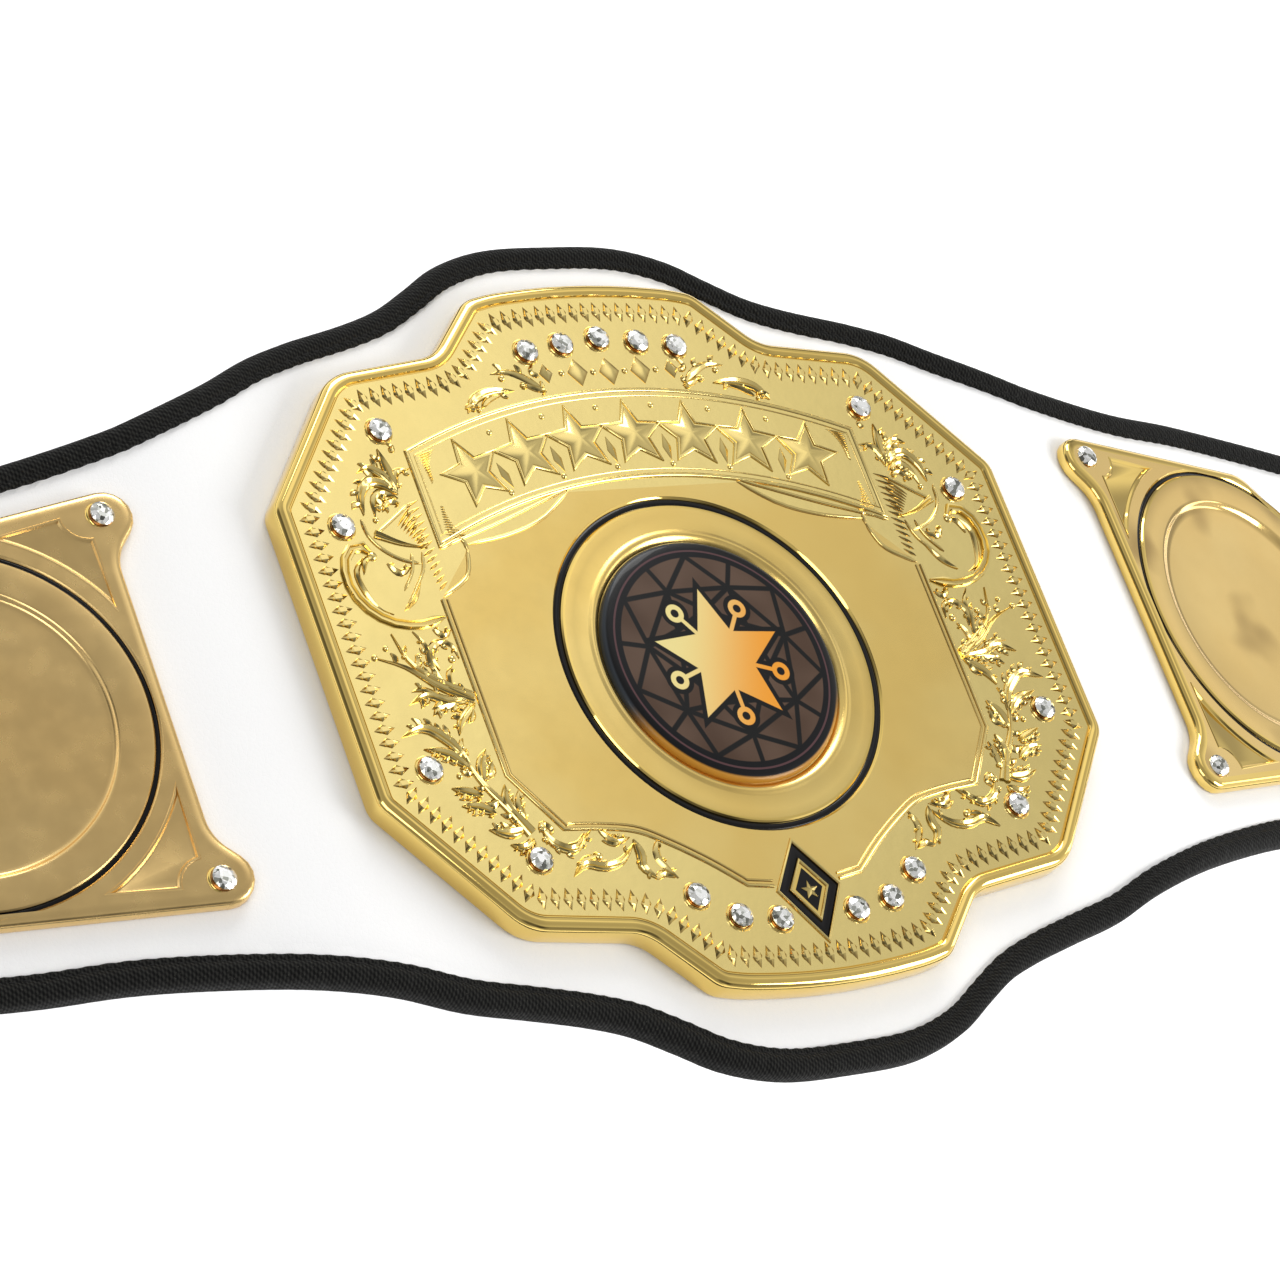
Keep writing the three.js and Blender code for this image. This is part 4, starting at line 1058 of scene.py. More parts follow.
sprays = [
    ("leaf", 1.0, [(-20.5, 75), (-25, 79), (-29.5, 81), (-34.5, 80.6)], (-1, 3, 2.6)),
    ("leaf", 0.8, [(-20.3, 75.4), (-23.5, 76.2), (-26.8, 78)], (1, 2, 1.8)),
    ("drop", 0.9, [(-20.8, 79.4), (-22.8, 80.8), (-21.2, 83.4)]),
    ("leaf", 1.2, [(-44.8, 70.2), (-41.5, 74), (-36, 75.8), (-29.6, 75.7)], (-1, 3, 2.2)),
    ("leaf", 0.8, [(-40.5, 71.4), (-37.5, 73.8), (-33.2, 74.9)]),
    ("leaf", 0.7, [(-45.2, 71.4), (-43, 72.4), (-41, 71.6)]),
    ("leaf", 1.1, [(-72.2, 50), (-72.8, 56), (-73.5, 61.8)], (1, 2, 3.0)),
    ("leaf", 0.9, [(-72, 51), (-70.8, 55.3), (-66.6, 56.2)], (-1, 2, 2.0)),
    ("leaf", 1.1, [(-72.3, 50), (-74.4, 54.4), (-78, 56.9), (-81.2, 55.8)], (-1, 4, 2.4)),
    ("drop", 0.9, [(-70.2, 60.8), (-69.2, 62.2), (-70.6, 63.4)]),
    ("leaf", 1.3, [(-72.2, 49.5), (-75.5, 52.6), (-79.5, 53), (-82.4, 49.6), (-83.3, 44.6)], (-1, 6, 2.8)),
    ("leaf", 1.0, [(-72.6, 48.5), (-76.5, 50.4), (-79.3, 48.4), (-80.4, 44)], (1, 4, 2.2)),
    ("leaf", 0.8, [(-72.6, 47.2), (-75.6, 47.8), (-78, 45.2)], (1, 2, 1.6)),
    ("line", 0.42, [(-82, 39.5), (-76.5, 42.9), (-70.6, 46.8)]),
    ("stem", 0.95, [(-82.2, 39.6), (-76, 36.7), (-69.5, 35.1)]),
    ("line", 0.4, [(-84.6, 43.6), (-84, 39), (-81.5, 35.4), (-77.5, 32.6), (-72.8, 31.2)]),
    ("line", 0.36, [(-71.4, 34.2), (-72.6, 29.8), (-76, 25.4), (-80.6, 20)]),
    ("line", 0.36, [(-74.4, 34), (-75.6, 29.8), (-79.6, 24.6)]),
    ("leaf", 0.9, [(-81.8, 31.8), (-79.4, 29.2), (-75.6, 30.6)], (1, 2, 1.5)),
    ("line", 1.15, [(-84.6, 34), (-85.8, 36), (-88.4, 36.7), (-91.4, 35), (-93.4, 30.6), (-93.4, 25.6),
                    (-91, 20.8), (-86, 17), (-79, 15.7), (-71.6, 17)]),
    ("leaf", 0.8, [(-87.8, 33.6), (-90.6, 30), (-90.2, 25), (-88, 20.2), (-84.8, 18.6)]),
    ("leaf", 0.7, [(-84.6, 33.8), (-87.2, 33), (-88.8, 29.4)]),
    ("leaf", 0.6, [(-81.6, 19.4), (-77.6, 22.4), (-74.6, 26.6)]),
    ("leaf", 0.9, [(-76, 14.2), (-73.6, 12.5), (-71.2, 13.8)], (1, 2, 1.4)),
    ("stem", 1.25, [(-71.8, -4), (-79.5, -0.6), (-86.5, 5), (-93.8, 8)], (-1, 3, 2.6)),
    ("stem", 1.2, [(-72.4, -3.4), (-79.3, 1), (-85.2, 6.4), (-87.4, 13.8)], (-1, 4, 2.6)),
    ("leaf", 0.8, [(-78, -0.4), (-79.8, 6), (-79.4, 10), (-81.6, 14)], (1, 4, 1.7)),
    ("leaf", 0.9, [(-78, 3.6), (-78.8, 8.2), (-76, 10.7), (-72.6, 9.8), (-71.8, 6.2)], (-1, 4, 1.6)),
    ("leaf", 0.7, [(-76.6, -0.8), (-76, 2.6), (-74.4, 4.6)], (-1, 2, 1.3)),
    ("leaf", 1.1, [(-71.8, -4.6), (-78.6, -4.2), (-84, -2.4), (-89.2, -4.4)], (1, 5, 2.8)),
    ("leaf", 1.0, [(-75.4, -4.6), (-80, -3.4), (-84.2, -0.8), (-87.4, -1.2)], (-1, 3, 1.8)),
    ("leaf", 1.0, [(-76, -5), (-81.4, -5.6), (-84, -7.6)], (1, 3, 1.8)),
    ("leaf", 1.1, [(-71.9, -5.2), (-75.4, -7.8), (-77.6, -10), (-79, -13)], (-1, 4, 2.2)),
    ("leaf", 0.8, [(-73.2, -6.2), (-73.8, -8.6), (-75.6, -10.2)]),
    ("stem", 1.4, [(-69.4, -38.8), (-72.8, -32.6), (-77.4, -25.6), (-79.8, -18.4), (-78.6, -13.8)],
     (1, 6, 3.0)),
    ("leaf", 1.3, [(-79, -20), (-82, -14.6), (-87.6, -10.4), (-94.2, -12.2)], (-1, 7, 2.6)),
    ("leaf", 1.2, [(-79.4, -21.5), (-83.6, -17.4), (-89.6, -15.6)], (1, 5, 2.2)),
    ("leaf", 1.3, [(-77.2, -25), (-76, -20.6), (-73.6, -17)], (-1, 4, 2.2)),
    ("leaf", 0.9, [(-76.4, -24), (-73.8, -22.6), (-73.4, -19.4)]),
    ("leaf", 1.1, [(-71.6, -34.4), (-73, -30.4), (-72, -26.2)], (-1, 4, 1.9)),
    ("leaf", 1.0, [(-70, -35.6), (-70, -31.4), (-69, -28)], (-1, 3, 1.6)),
    ("leaf", 1.1, [(-78.6, -28.4), (-82, -27.2), (-86, -25.8)], (1, 4, 2.2)),
    ("leaf", 1.2, [(-76.8, -33.2), (-80.6, -31), (-85, -30.4)], (1, 4, 2.2)),
    ("leaf", 1.3, [(-70.6, -37.6), (-75, -38.2), (-80.2, -36.8)], (-1, 5, 2.4)),
    ("leaf", 1.1, [(-69.4, -40.2), (-72.6, -42), (-76, -41)], (1, 4, 1.8)),
    ("leaf", 1.1, [(-66.4, -38.2), (-64.6, -41.8), (-60, -43.8), (-56.5, -41.6), (-53.6, -39.6)],
     (-1, 5, 1.9)),
    ("leaf", 0.8, [(-67.2, -38.8), (-65.6, -36.8), (-63.8, -38.4), (-65, -40)]),
    ("leaf", 0.7, [(-61, -42.4), (-58, -42.4), (-55.6, -40)]),
    ("leaf", 1.0, [(-51.6, -40), (-48, -42.8), (-43.8, -42.4)], (1, 4, 1.5)),
    ("leaf", 0.7, [(-51.6, -42.4), (-48.6, -43.6), (-46, -43)]),
    ("leaf", 1.1, [(-62.4, -50.4), (-58.4, -47.8), (-53.4, -48.9), (-48.4, -48), (-43.2, -43.8)],
     (1, 3, 1.6)),
    ("leaf", 0.8, [(-60.6, -48.4), (-57, -46.3), (-53.4, -46.2)], (1, 2, 1.3)),
    ("leaf", 1.1, [(-43.2, -43), (-42.6, -47), (-43.2, -50), (-40.4, -53.4)], (-1, 3, 1.4)),
    ("leaf", 1.0, [(-36.8, -43.8), (-38.3, -47.6), (-37.2, -50.6), (-34.8, -53.8)], (1, 3, 1.4)),
    ("leaf", 0.9, [(-41, -53.4), (-38.4, -52.2), (-35.6, -53.6)]),
    ("line", 0.4, [(-66, 35), (-48, 40.4), (-33, 45.6), (-25, 48.4)]),
    ("line", 0.42, [(-58.4, 35.4), (-46, 37.3), (-35, 41), (-25, 47.8)]),
    ("line", 0.42, [(-66.2, 34.6), (-59.4, 36.8), (-58.8, 33.8)]),
    ("line", 0.5, [(-58.8, 34.2), (-61.4, 27.4), (-69.8, 22.2)]),
]
beads = [  # x, y and radius, in the same half
    (-85.1, 33.9, 1.3), (-78.4, 46.4, 0.8), (-80.6, 43.2, 0.8), (-76.2, 49.4, 0.6), (-31.8, 79.3, 0.9),
    (-26.6, 77.2, 0.7), (-73.8, 6.2, 1.0), (-90.2, 10.2, 0.7), (-82.2, 7.6, 0.7), (-75.2, -21.2, 0.9),
    (-66.2, -37.8, 1.1), (-54, -46.2, 1.0), (-38.2, -48.4, 0.9), (-82.8, -23, 0.8), (-80.6, -22, 0.7),
    (-70.6, -33.4, 0.7), (-77.8, -36.2, 0.7), (-86.2, 7.8, 0.6), (-66.6, -40.6, 0.7),
    (-59.6, -47.4, 0.6), (-79.6, -16, 0.7), (-81.8, -13.6, 0.7), (-41.4, 70.8, 0.6), (-93.9, 8.1, 0.8),
]
relief = {
    "high": 0.85, "low": 0.5, "stations": 11, "beadHigh": 0.75,
    # strokes on the ribbon's fold: how many, start and its step, end and its step, half width, height
    "folds": [
        (13, (-70.4, 24), (-0.2, 1.8), (-67.4, 26.2), (0, 1.8), 0.42, 0.4),
        (9, (-75.4, 41.2), (0.5, -0.7), (-69.8, 46.6), (0.15, -1.25), 0.34, 0.36)],
    "panelLines": [(0.0, 0.45, 0.46), (1.4, 0.32, 0.3)],  # inset, half width, height
}


def addSpray(shell, face, kind, half, path, leaflets=None):
    run = smoothPath([toField(p) for p in path], relief["stations"] + 3 * (len(path) > 4))
    share = shares[kind](np.linspace(0, 1, len(run)))
    tall = relief["high"] if kind != "line" else relief["low"]
    section = {"line": "round", "stem": "vein"}.get(kind, "vein" if half > 1 else "ridge")
    if kind == "line" and half > 1:
        section, tall = "split", relief["high"]
    addStroke(shell, run, 1.14 * half * share, tall * (0.35 + 0.65 * share), face, section)
    if not leaflets:
        return
    side, count, length = leaflets
    for k in range(count):
        at = 0.16 + 0.72 * k / max(count - 1, 1)
        i = int(at * (len(run) - 1))
        ahead = unit(run[min(i + 1, len(run) - 1)] - run[max(i - 1, 0)])
        outward = turnLeft(ahead) * side
        grow = length * (0.72 + 0.28 * math.sin(math.pi * at)) * (0.85 + 0.15 * ((k * 7) % 3))
        tip = run[i] + outward * grow + ahead * grow * 0.55
        bend = run[i] + outward * grow * 0.62 + ahead * grow * 0.02
        twig = smoothPath([run[i], bend, tip], 7)
        s = leafShare(np.linspace(0, 1, 7))
        addStroke(shell, twig, 0.34 * grow * s, relief["high"] * 0.95 * (0.35 + 0.65 * s), face, "ridge")


def addScratch(shell, start, end, half, high, face):
    run = smoothPath([toField(start), toField(end)], 5)
    s = leafShare(np.linspace(0, 1, 5))
    addStroke(shell, run, half * s, high * s + 0.08, face, "ridge")


def mirrorShell(shell):
    count = len(shell.points)
    shell.points += [(-x, y, z) for x, y, z in shell.points[:count]]
    shell.faces += [tuple(count + i for i in reversed(face)) for face in shell.faces]
    shell.kinds += shell.kinds


def makeSprays(finish):
    shell = Shell()
    face = plate["face"]
    for spray in sprays:
        addSpray(shell, face, *spray)
    for x, y, radius in beads:
        addDome(shell, *toField((x, y)), radius, relief["beadHigh"], face)
    for count, start, startStep, end, endStep, half, high in relief["folds"]:
        for k in range(count):
            first = (start[0] + startStep[0] * k, start[1] + startStep[1] * k)
            last = (end[0] + endStep[0] * k, end[1] + endStep[1] * k)
            addScratch(shell, first, last, half, high, face)
    run = smoothPath([toField(p) for p in plate["panel"][2:-1]], 30)
    line = np.vstack(([toField(p) for p in plate["panel"][:2]], run, [toField(plate["panel"][-1])]))
    for inset, wide, tall in relief["panelLines"]:
        addStroke(shell, insetLine(line, inset), wide, tall, face)
    mirrorShell(shell)
    return shell.build("castLeaves", [finish], 42)


def insetLine(line, shift):  # an open line moved to its left
    ahead = np.gradient(line, axis=0)
    ahead /= np.linalg.norm(ahead, axis=1)[:, None]
    return line + np.stack((-ahead[:, 1], ahead[:, 0]), 1) * shift


def addPeak(shell, outline, middle, face, foot, high):
    first = len(shell.points)
    count = len(outline)
    shell.points += atHeight(outline, face - 0.3) + atHeight(outline, face + foot) + [(*middle, face + high)]
    for k in range(count):
        n = (k + 1) % count
        shell.faces.append((first + k, first + n, first + count + n, first + count + k))
        shell.faces.append((first + count + k, first + count + n, first + 2 * count))
    shell.faces.append(tuple(first + k for k in reversed(range(count))))
    shell.kinds.extend([0] * (2 * count + 1))


def addStar(shell, middle, reach, waist, lean, face, high, edged=True):
    outline = []
    for k in range(10):
        r = reach * (1 if k % 2 == 0 else waist)
        a = lean + math.pi / 2 + k * math.pi / 5
        outline.append((middle[0] + r * math.cos(a), middle[1] + r * math.sin(a)))
    outline = np.array(outline)
    addPeak(shell, outline, middle, face, 0.12, high)
    if edged:
        ridge = insetLoop(outline, -0.75)
        addStroke(shell, ridge, 0.26, 0.4, face, closed=True)


def addLozenge(shell, middle, wide, tall, lean, face, high):
    turn = np.array(((math.cos(lean), math.sin(lean)), (-math.sin(lean), math.cos(lean))))
    outline = np.array(((wide, 0), (0, tall), (-wide, 0), (0, -tall))) @ turn + np.array(middle)
    addPeak(shell, outline, middle, face, 0.08, high)


def makeBanner(finishes):
    face = plate["face"]
    shell = Shell()
    loop = bannerLoop()
    top = face + banner["lift"]
    inner = insetLoop(loop, 0.1)
    rings = [atHeight(loop, face - 0.3), atHeight(loop, face + 0.06), atHeight(inner, top)]
    shell.loft(rings, caps=(True, False), kind=1)
    points, faces = flatFill([inner])
    keep = [f for f in faces if insideLoop(*faceMiddle(points, f), inner)]
    shell.add([(x, y, top) for x, y in points], keep, 1)
    edge = insetLoop(loop, banner["edge"])
    addStroke(shell, edge, banner["edge"], banner["high"], face, closed=True)
    inset, half, high = banner["line"]
    addStroke(shell, insetLoop(loop, inset), half, high, face, closed=True)
    last = banner["stars"] // 2
    for k in range(-last, last + 1):
        x = k * banner["starPitch"]
        lean = -math.atan(x * (1 / banner["top"][1] + 1 / banner["low"][1]))
        spot = (x, bannerMiddle(x) - banner["starDrop"])
        addStar(shell, spot, banner["star"], banner["waist"], lean, top, banner["starHigh"])
        if k < last:
            mid = x + banner["starPitch"] / 2
            wide, tall, high = banner["lozenge"]
            addLozenge(shell, (mid, bannerMiddle(mid) - banner["lozengeDrop"]), wide, tall, lean, top, high)
            for rise in banner["beads"]:
                addDome(shell, mid, bannerMiddle(mid) + rise, *banner["bead"], top)
    last = len(banner["crest"]) // 2
    for k, (wide, tall) in enumerate(banner["crest"], -last):
        x, y = banner["crestPitch"] * k, plate["lift"] + banner["crestUp"]
        addLozenge(shell, (x, y), wide, tall, 0, face, banner["crestHigh"])
        if k < last:
            addDome(shell, x + banner["crestPitch"] / 2, y, *banner["crestBead"], face)
    for hand in (-1, 1):
        for k in range(banner["strokes"]):  # shading strokes in the corners of the banner
            length = banner["strokeLong"] * math.exp(-k / banner["strokeFade"])
            x = banner["corner"] - banner["strokeLean"] * k
            for y, rise, way in banner["strokeRows"]:
                y += way * banner["strokePitch"] * k
                end = (hand * (x - length), y + rise)
                addScratch(shell, (hand * x, y), end, banner["strokeHalf"], banner["strokeHalf"], top)
    return weld(shell.build("raisedBanner", finishes, outward=False), 42)


marks = {"inset": 8.1, "pitch": 3.4, "long": 2.75, "wide": 5.8, "high": 0.6}


def markShape():  # four tips with hollow sides and a flat top
    shell = Shell()
    outline, top = [(0.10, -0.5), (0.29, -0.19), (0.5, 0.05), (0.27, 0.22)], [(0.22, -0.15), (0.19, 0.17)]
    outline, top = [half + [(-x, -y) for x, y in half] for half in (outline, top)]
    caps = [0, 0, 1, 1, 2, 2, 3, 3]
    shell.points = [(x, y, -0.5) for x, y in outline] + [(x, y, 0.02) for x, y in outline]
    shell.points += [(x, y, 1.0) for x, y in top]
    for k in range(8):
        n = (k + 1) % 8
        shell.faces.append((k, n, 8 + n, 8 + k))
        a, b = 16 + caps[k], 16 + caps[n]
        shell.faces.append((8 + k, 8 + n, b) if a == b else (8 + k, 8 + n, b, a))
    shell.faces += [(16, 17, 18, 19), tuple(reversed(range(8)))]
    shell.kinds = [0] * len(shell.faces)
    return shell.build("markShape", [], 20)


def makeMarks(finish):
    path = roundedOutline(centreCorners(), marks["inset"]) + (0, plate["lift"])
    closedPath = np.vstack((path, path[:1]))
    length = np.linalg.norm(np.diff(closedPath, axis=0), axis=1).sum()
    points = evenPath(closedPath, 900, closed=True)
    pitch = length / round(length / marks["pitch"])
    sizes = {"Pitch": pitch * mm, "Long": marks["long"], "Wide": marks["wide"], "High": marks["high"]}
    return alongPath("milledMarks", atHeight(points, plate["face"]), markShape(), finish, sizes)


# Medallion and badge

def makeEnamel(name, profile, place, face, finish, turn=None):
    shell = Shell()
    addTurned(shell, profile, place=place, base=face, ring=True)
    if turn:
        shell.moved(turn)
    return shell.build(name, [finish])


def makeInsert(finish):
    shell = Shell()
    addTurned(shell, medal["insert"], place=plate["medal"], base=plate["face"])
    return shell.build("domedInsert", [finish], 40)


def makeBadge(enamel, gold):
    face = plate["face"]
    shell = Shell()
    loops = [atHeight(badgeCorners(inset), face + z) for inset, z in badge["band"]]
    shell.loft(loops + loops[:1], caps=(False, False))
    band = shell.build("badgeEnamel", [enamel])
    shell = Shell()
    for inset, half, high in badge["edges"]:
        addStroke(shell, badgeCorners(inset), half, high, face, closed=True)
    middle = (0, (badge["top"] + badge["low"]) / 2 + plate["lift"])
    inner = badgeCorners(badge["inner"])
    top = face + badge["innerHigh"]
    rings = [atHeight(inner, face - 0.2), atHeight(inner, top), atHeight(insetLoop(inner, 0.3), top)]
    shell.loft(rings, kind=1)
    addStar(shell, middle, badge["star"], badge["waist"], 0, top, badge["starHigh"], edged=False)
    return band, shell.build("badgeStar", [gold, enamel], 30)


def segmentNear(finish, x, y, ax, ay, bx, by):  # distance from a point to a straight line piece
    wide, tall = bx - ax, by - ay
    share = (x * wide + y * tall - (ax * wide + ay * tall)) * (1 / (wide * wide + tall * tall))
    along = finish.node("ShaderNodeClamp", {}, {"Value": share})
    dx = x - ax - along * wide
    dy = y - ay - along * tall
    return (dx * dx + dy * dy) ** 0.5


printLook = {  # lengths in mm
    "sectors": 7, "lineHalf": 0.5, "lineSoft": 0.35, "soft": 0.12,
    "star": 18.6, "waist": 0.45, "outline": 1.3, "folds": 5,
    "ringAt": 15.6, "ring": 2.45, "hole": 1.1, "stemFrom": 6.5, "stemHalf": 0.55,
    "border": (27.3, 27.6), "mauve": (28.9, 29.1, 29.4, 29.6), "wall": (31.0, 31.6), "goldReflection": (9, 20),
    "net": [(13, 0, 11.7, 1), (13, 0, 20.5, 1), (18.47, 0, 20.5, 1), (20.5, 1, 27.8, 0), (20.5, 1, 27.8, 1)],
}
printTones = {
    "black": (0.003, 0.003, 0.003, 1), "line": (0.004, 0.004, 0.004, 1), "border": (0.003, 0.003, 0.004, 1),
    "darkBrown": (0.066, 0.036, 0.022, 1), "brown": (0.100, 0.060, 0.040, 1), "mauve": (0.12, 0.055, 0.06, 1),
    # painted reflections on the dome's side: a bluish sheen, and amber gold low down
    "wall": (0.03, 0.036, 0.044, 1), "goldReflection": (0.52, 0.24, 0.03, 1),
    "pale": (0.78, 0.66, 0.27, 1), "orange": (0.78, 0.31, 0.03, 1),
}


def foldRound(finish, angle, reach, share):  # x and y after folding the disc into equal sectors
    turned = finish.maths("PINGPONG", angle + 2 * math.pi, share / 2)
    return reach * finish.maths("COSINE", turned), reach * finish.maths("SINE", turned)


def printGround(finish, place, angle, reach, y):  # brown facets between dark lines, and the border
    look, tones = printLook, printTones
    step = 2 * math.pi / look["sectors"]
    fx, fy = foldRound(finish, angle, reach, step)
    near = None
    for ra, sa, rb, sb in look["net"]:
        a, b = sa * step / 2, sb * step / 2
        ends = (ra * math.cos(a), ra * math.sin(a), rb * math.cos(b), rb * math.sin(b))
        d = segmentNear(finish, fx, fy, *ends)
        near = d if near is None else finish.maths("MINIMUM", near, d)
    web = 1 - finish.ramp(near, look["lineHalf"], look["lineHalf"] + look["lineSoft"])
    shade = finish.ramp(finish.noise(place, 70, 1), 0.3, 0.7)
    colour = finish.mix(web, finish.mix(shade, tones["darkBrown"], tones["brown"]), tones["line"])
    colour = finish.mix(finish.ramp(reach, *look["border"]), colour, tones["border"])
    a, b, c, d = look["mauve"]
    mauve = finish.ramp(reach, a, b) * (1 - finish.ramp(reach, c, d))
    colour = finish.mix(mauve * 0.7, colour, tones["mauve"])
    # painted reflection: the dome's side is coloured a bluish sheen, turning amber gold low down as if
    # reflecting the gold
    low = finish.ramp(0 - y, *look["goldReflection"])  # gold shines into the dome's wall low down
    wall = finish.mix(low, tones["wall"], tones["goldReflection"])
    return finish.mix(finish.ramp(reach, *look["wall"]), colour, wall)


# How far out of the star, its stems and its rings a point lies, and how far from a ring's middle
def printFigure(finish, angle, reach):
    look = printLook
    fifth = 2 * math.pi / look["folds"]
    sx, sy = foldRound(finish, angle, reach, fifth)
    cx, cy = math.cos(fifth / 2), math.sin(fifth / 2)
    tip, at = look["star"], look["ringAt"]
    wx, wy = tip * look["waist"] * cx, tip * look["waist"] * cy
    side = math.hypot(wx - tip, wy)
    star = (sx - tip) * (wy / side) + sy * ((tip - wx) / side)
    ring = ((sx - at * cx) * (sx - at * cx) + (sy - at * cy) * (sy - at * cy)) ** 0.5
    first, last = look["stemFrom"], at - 2
    stem = segmentNear(finish, sx, sy, first * cx, first * cy, last * cx, last * cy) - look["stemHalf"]
    edge = finish.maths("MINIMUM", finish.maths("MINIMUM", star, ring - look["ring"]), stem)
    return edge, ring


def printFinish():  # an abstract print: a shaded star with five rings on a faceted ground
    look, tones = printLook, printTones
    finish = newFinish("domedPrint")
    place = finish.place()
    x = finish.part(place, "X") * 1000
    y = finish.part(place, "Y") * 1000 - plate["medal"][1]
    reach = (x * x + y * y) ** 0.5
    angle = finish.maths("ARCTAN2", x, y)
    colour = printGround(finish, place, angle, reach, y)
    edge, ring = printFigure(finish, angle, reach)
    soft = look["soft"]
    ink = 1 - finish.ramp(edge, look["outline"] - soft, look["outline"] + soft)
    outOfHole = finish.ramp(ring, look["hole"] - soft, look["hole"] + soft)
    inside = (1 - finish.ramp(edge, -soft, soft)) * outOfHole
    warm = finish.ramp(x * 0.8 - y * 0.35, -13, 12)
    colour = finish.mix(ink, colour, tones["black"])
    colour = finish.mix(inside, colour, finish.mix(warm, tones["pale"], tones["orange"]))
    roughness = 0.3 + finish.noise(place, 500, 2) * 0.1
    return finish.surface({"Base Color": colour, "Roughness": roughness, "Specular IOR Level": 0.15,
                           "Coat Weight": 0.3, "Coat Roughness": 0.03, "Coat IOR": 1.35})


# Stones: a cut crown on a foiled body, each in a low gold collar

stone = {
    "radius": 2.95, "crown": 0.95, "table": 0.56, "body": 1.0, "collar": 0.55,
    "centre": [  # shares of the plate's half width and half height
        (0, 0.826), (0.106, 0.812), (0.209, 0.795), (0.672, 0.588), (0.852, 0.331), (0.85, -0.324),
        (0.66, -0.583), (0.299, -0.721), (0.209, -0.787), (0.105, -0.806)],
}


def ringPoints(radius, z, shift, count):
    turns = [2 * math.pi * (k + shift) / count for k in range(count)]
    return [(radius * math.cos(turn), radius * math.sin(turn), z) for turn in turns]


def crownShape():
    shell = Shell()
    shell.points = (ringPoints(1, 0, 0, 16) + ringPoints(1, 0.22, 0, 16) + ringPoints(0.8, 0.68, 0.5, 8)
                    + ringPoints(stone["table"], 1.0, 0, 8))
    for k in range(16):
        n = (k + 1) % 16
        shell.faces.append((k, n, 16 + n, 16 + k))
    for k in range(8):
        n = (k + 1) % 8
        low, middle, after = 16 + 2 * k, 17 + 2 * k, 16 + (2 * k + 2) % 16
        kite, before = 32 + k, 32 + (k - 1) % 8
        shell.faces += [(low, middle, kite), (middle, after, kite)]
        shell.faces += [(low, kite, 40 + k, before), (kite, 40 + n, 40 + k)]
    shell.faces += [tuple(range(40, 48)), tuple(reversed(range(16)))]
    shell.kinds = [0] * len(shell.faces)
    return shell.build("crownShape", [], 5)


def bodyShape():
    shell = Shell()
    addTurned(shell, [(0, -0.3), (0.93, -0.3), (0.9, 0.25), (0.97, 0.8), (0.99, 1.0), (0, 1.0)], 28)
    return shell.build("bodyShape", [], 40)


def collarShape():
    shell = Shell()
    profile = [(0.9, -0.6), (0.96, 0.1), (1.05, 0.55), (1.14, 0.5), (1.24, 0.0), (1.26, -0.6)]
    addTurned(shell, profile, 32, ring=True)
    return shell.build("collarShape", [], 40)


def makeStones(name, spots, nodes):
    raised = [(x, y, z + stone["body"]) for x, y, z in spots]
    for part, points, shape, finish, high, turn, slotName, stands in (
            ("Collars", spots, collarShape(), polished, stone["collar"], 0.0, "gold_plating", []),
            ("Bodies", spots, bodyShape(), amber, stone["body"], 6.28, "cut_glass", []),
            ("Crowns", raised, crownShape(), crystal, stone["crown"], 6.28, "cut_glass", nodes)):
        sizes = {"Across": stone["radius"], "High": high, "Turn": turn}
        own(atSpots(name + part, points, shape, finish, sizes), slotName, *stands)


def centreStoneSpots():
    spots = [(hand * a, u) for a, u in stone["centre"] for hand in ((1, -1) if a else (1,))]
    return [(a * belt["centreHalf"], plate["lift"] + u * belt["centreHigh"], plate["face"]) for a, u in spots]


# Side plates, each in a frame of its own with its straight edge towards +X

side = {
    "inner": 47.4, "lobe": 55.3, "outer": 47.5, "high": 52.3, "outerHigh": 45.0, "face": 3.6, "lift": -1.1,
    "round": 11.0, "lobeRound": 6.6, "stoneIn": 8.8, "stoneDown": 6.8, "stoneSink": 0.55,
    "rim": [(0.5, -3.6), (0.1, -3.5), (0, -3.2), (0, -1.5), (0.12, -1.0), (0.42, -0.52), (0.95, -0.2),
            (1.7, -0.05), (2.5, 0.0), (2.9, 0.0)],
    "seat": [(39.5, 0.1), (35.9, 0.1), (35.4, 0.07), (34.9, -0.1), (34.3, -0.5), (33.7, -0.86), (32.9, -1.07),
             (31.8, -1.12), (20, -1.12), (0, -1.12)],
    "seatSteep": [(39.5, 0.1), (35.9, 0.1), (35.5, 0.07), (35.2, -0.05), (34.9, -0.4), (34.6, -0.8),
                  (34.3, -1.0), (33.9, -1.1), (33.2, -1.12), (31.8, -1.12), (20, -1.12), (0, -1.12)],
    "groove": medal["groove"][:5] + [(43.35, -0.95), (43.25, -0.3), (42.9, 0.05), (42.3, 0.1)],
    "enamel": [(43.3, -0.9), (43.35, -0.62), (43.55, -0.5), (43.8, -0.45), (44.15, -0.5), (44.33, -0.62),
               (44.38, -0.9)],
    "enamelMiddle": 43.5, "panelLow": math.radians(26), "panelHigh": math.radians(66),
    "panelGap": 4.6, "edgeGap": 4.2, "topGap": 6.0, "notch": 6.2,
    "panel": [(0, 0.0), (0.15, 0.16), (0.6, 0.12), (1.0, -0.35), (1.3, -0.4)],
}


def sideCorners():
    lobe = side["lobe"] - side["inner"]
    chamfer = 0.59 * side["outer"]
    upper = [(side["inner"], 0.67 * side["high"], side["round"]),
             (side["inner"] + 2.08 * lobe, side["high"] + 1, side["lobeRound"]),
             (-side["outer"] + chamfer, side["outerHigh"], side["round"]),
             (-side["outer"], side["outerHigh"] - chamfer, side["round"])]
    return upper + [(x, -y, r) for x, y, r in reversed(upper)]


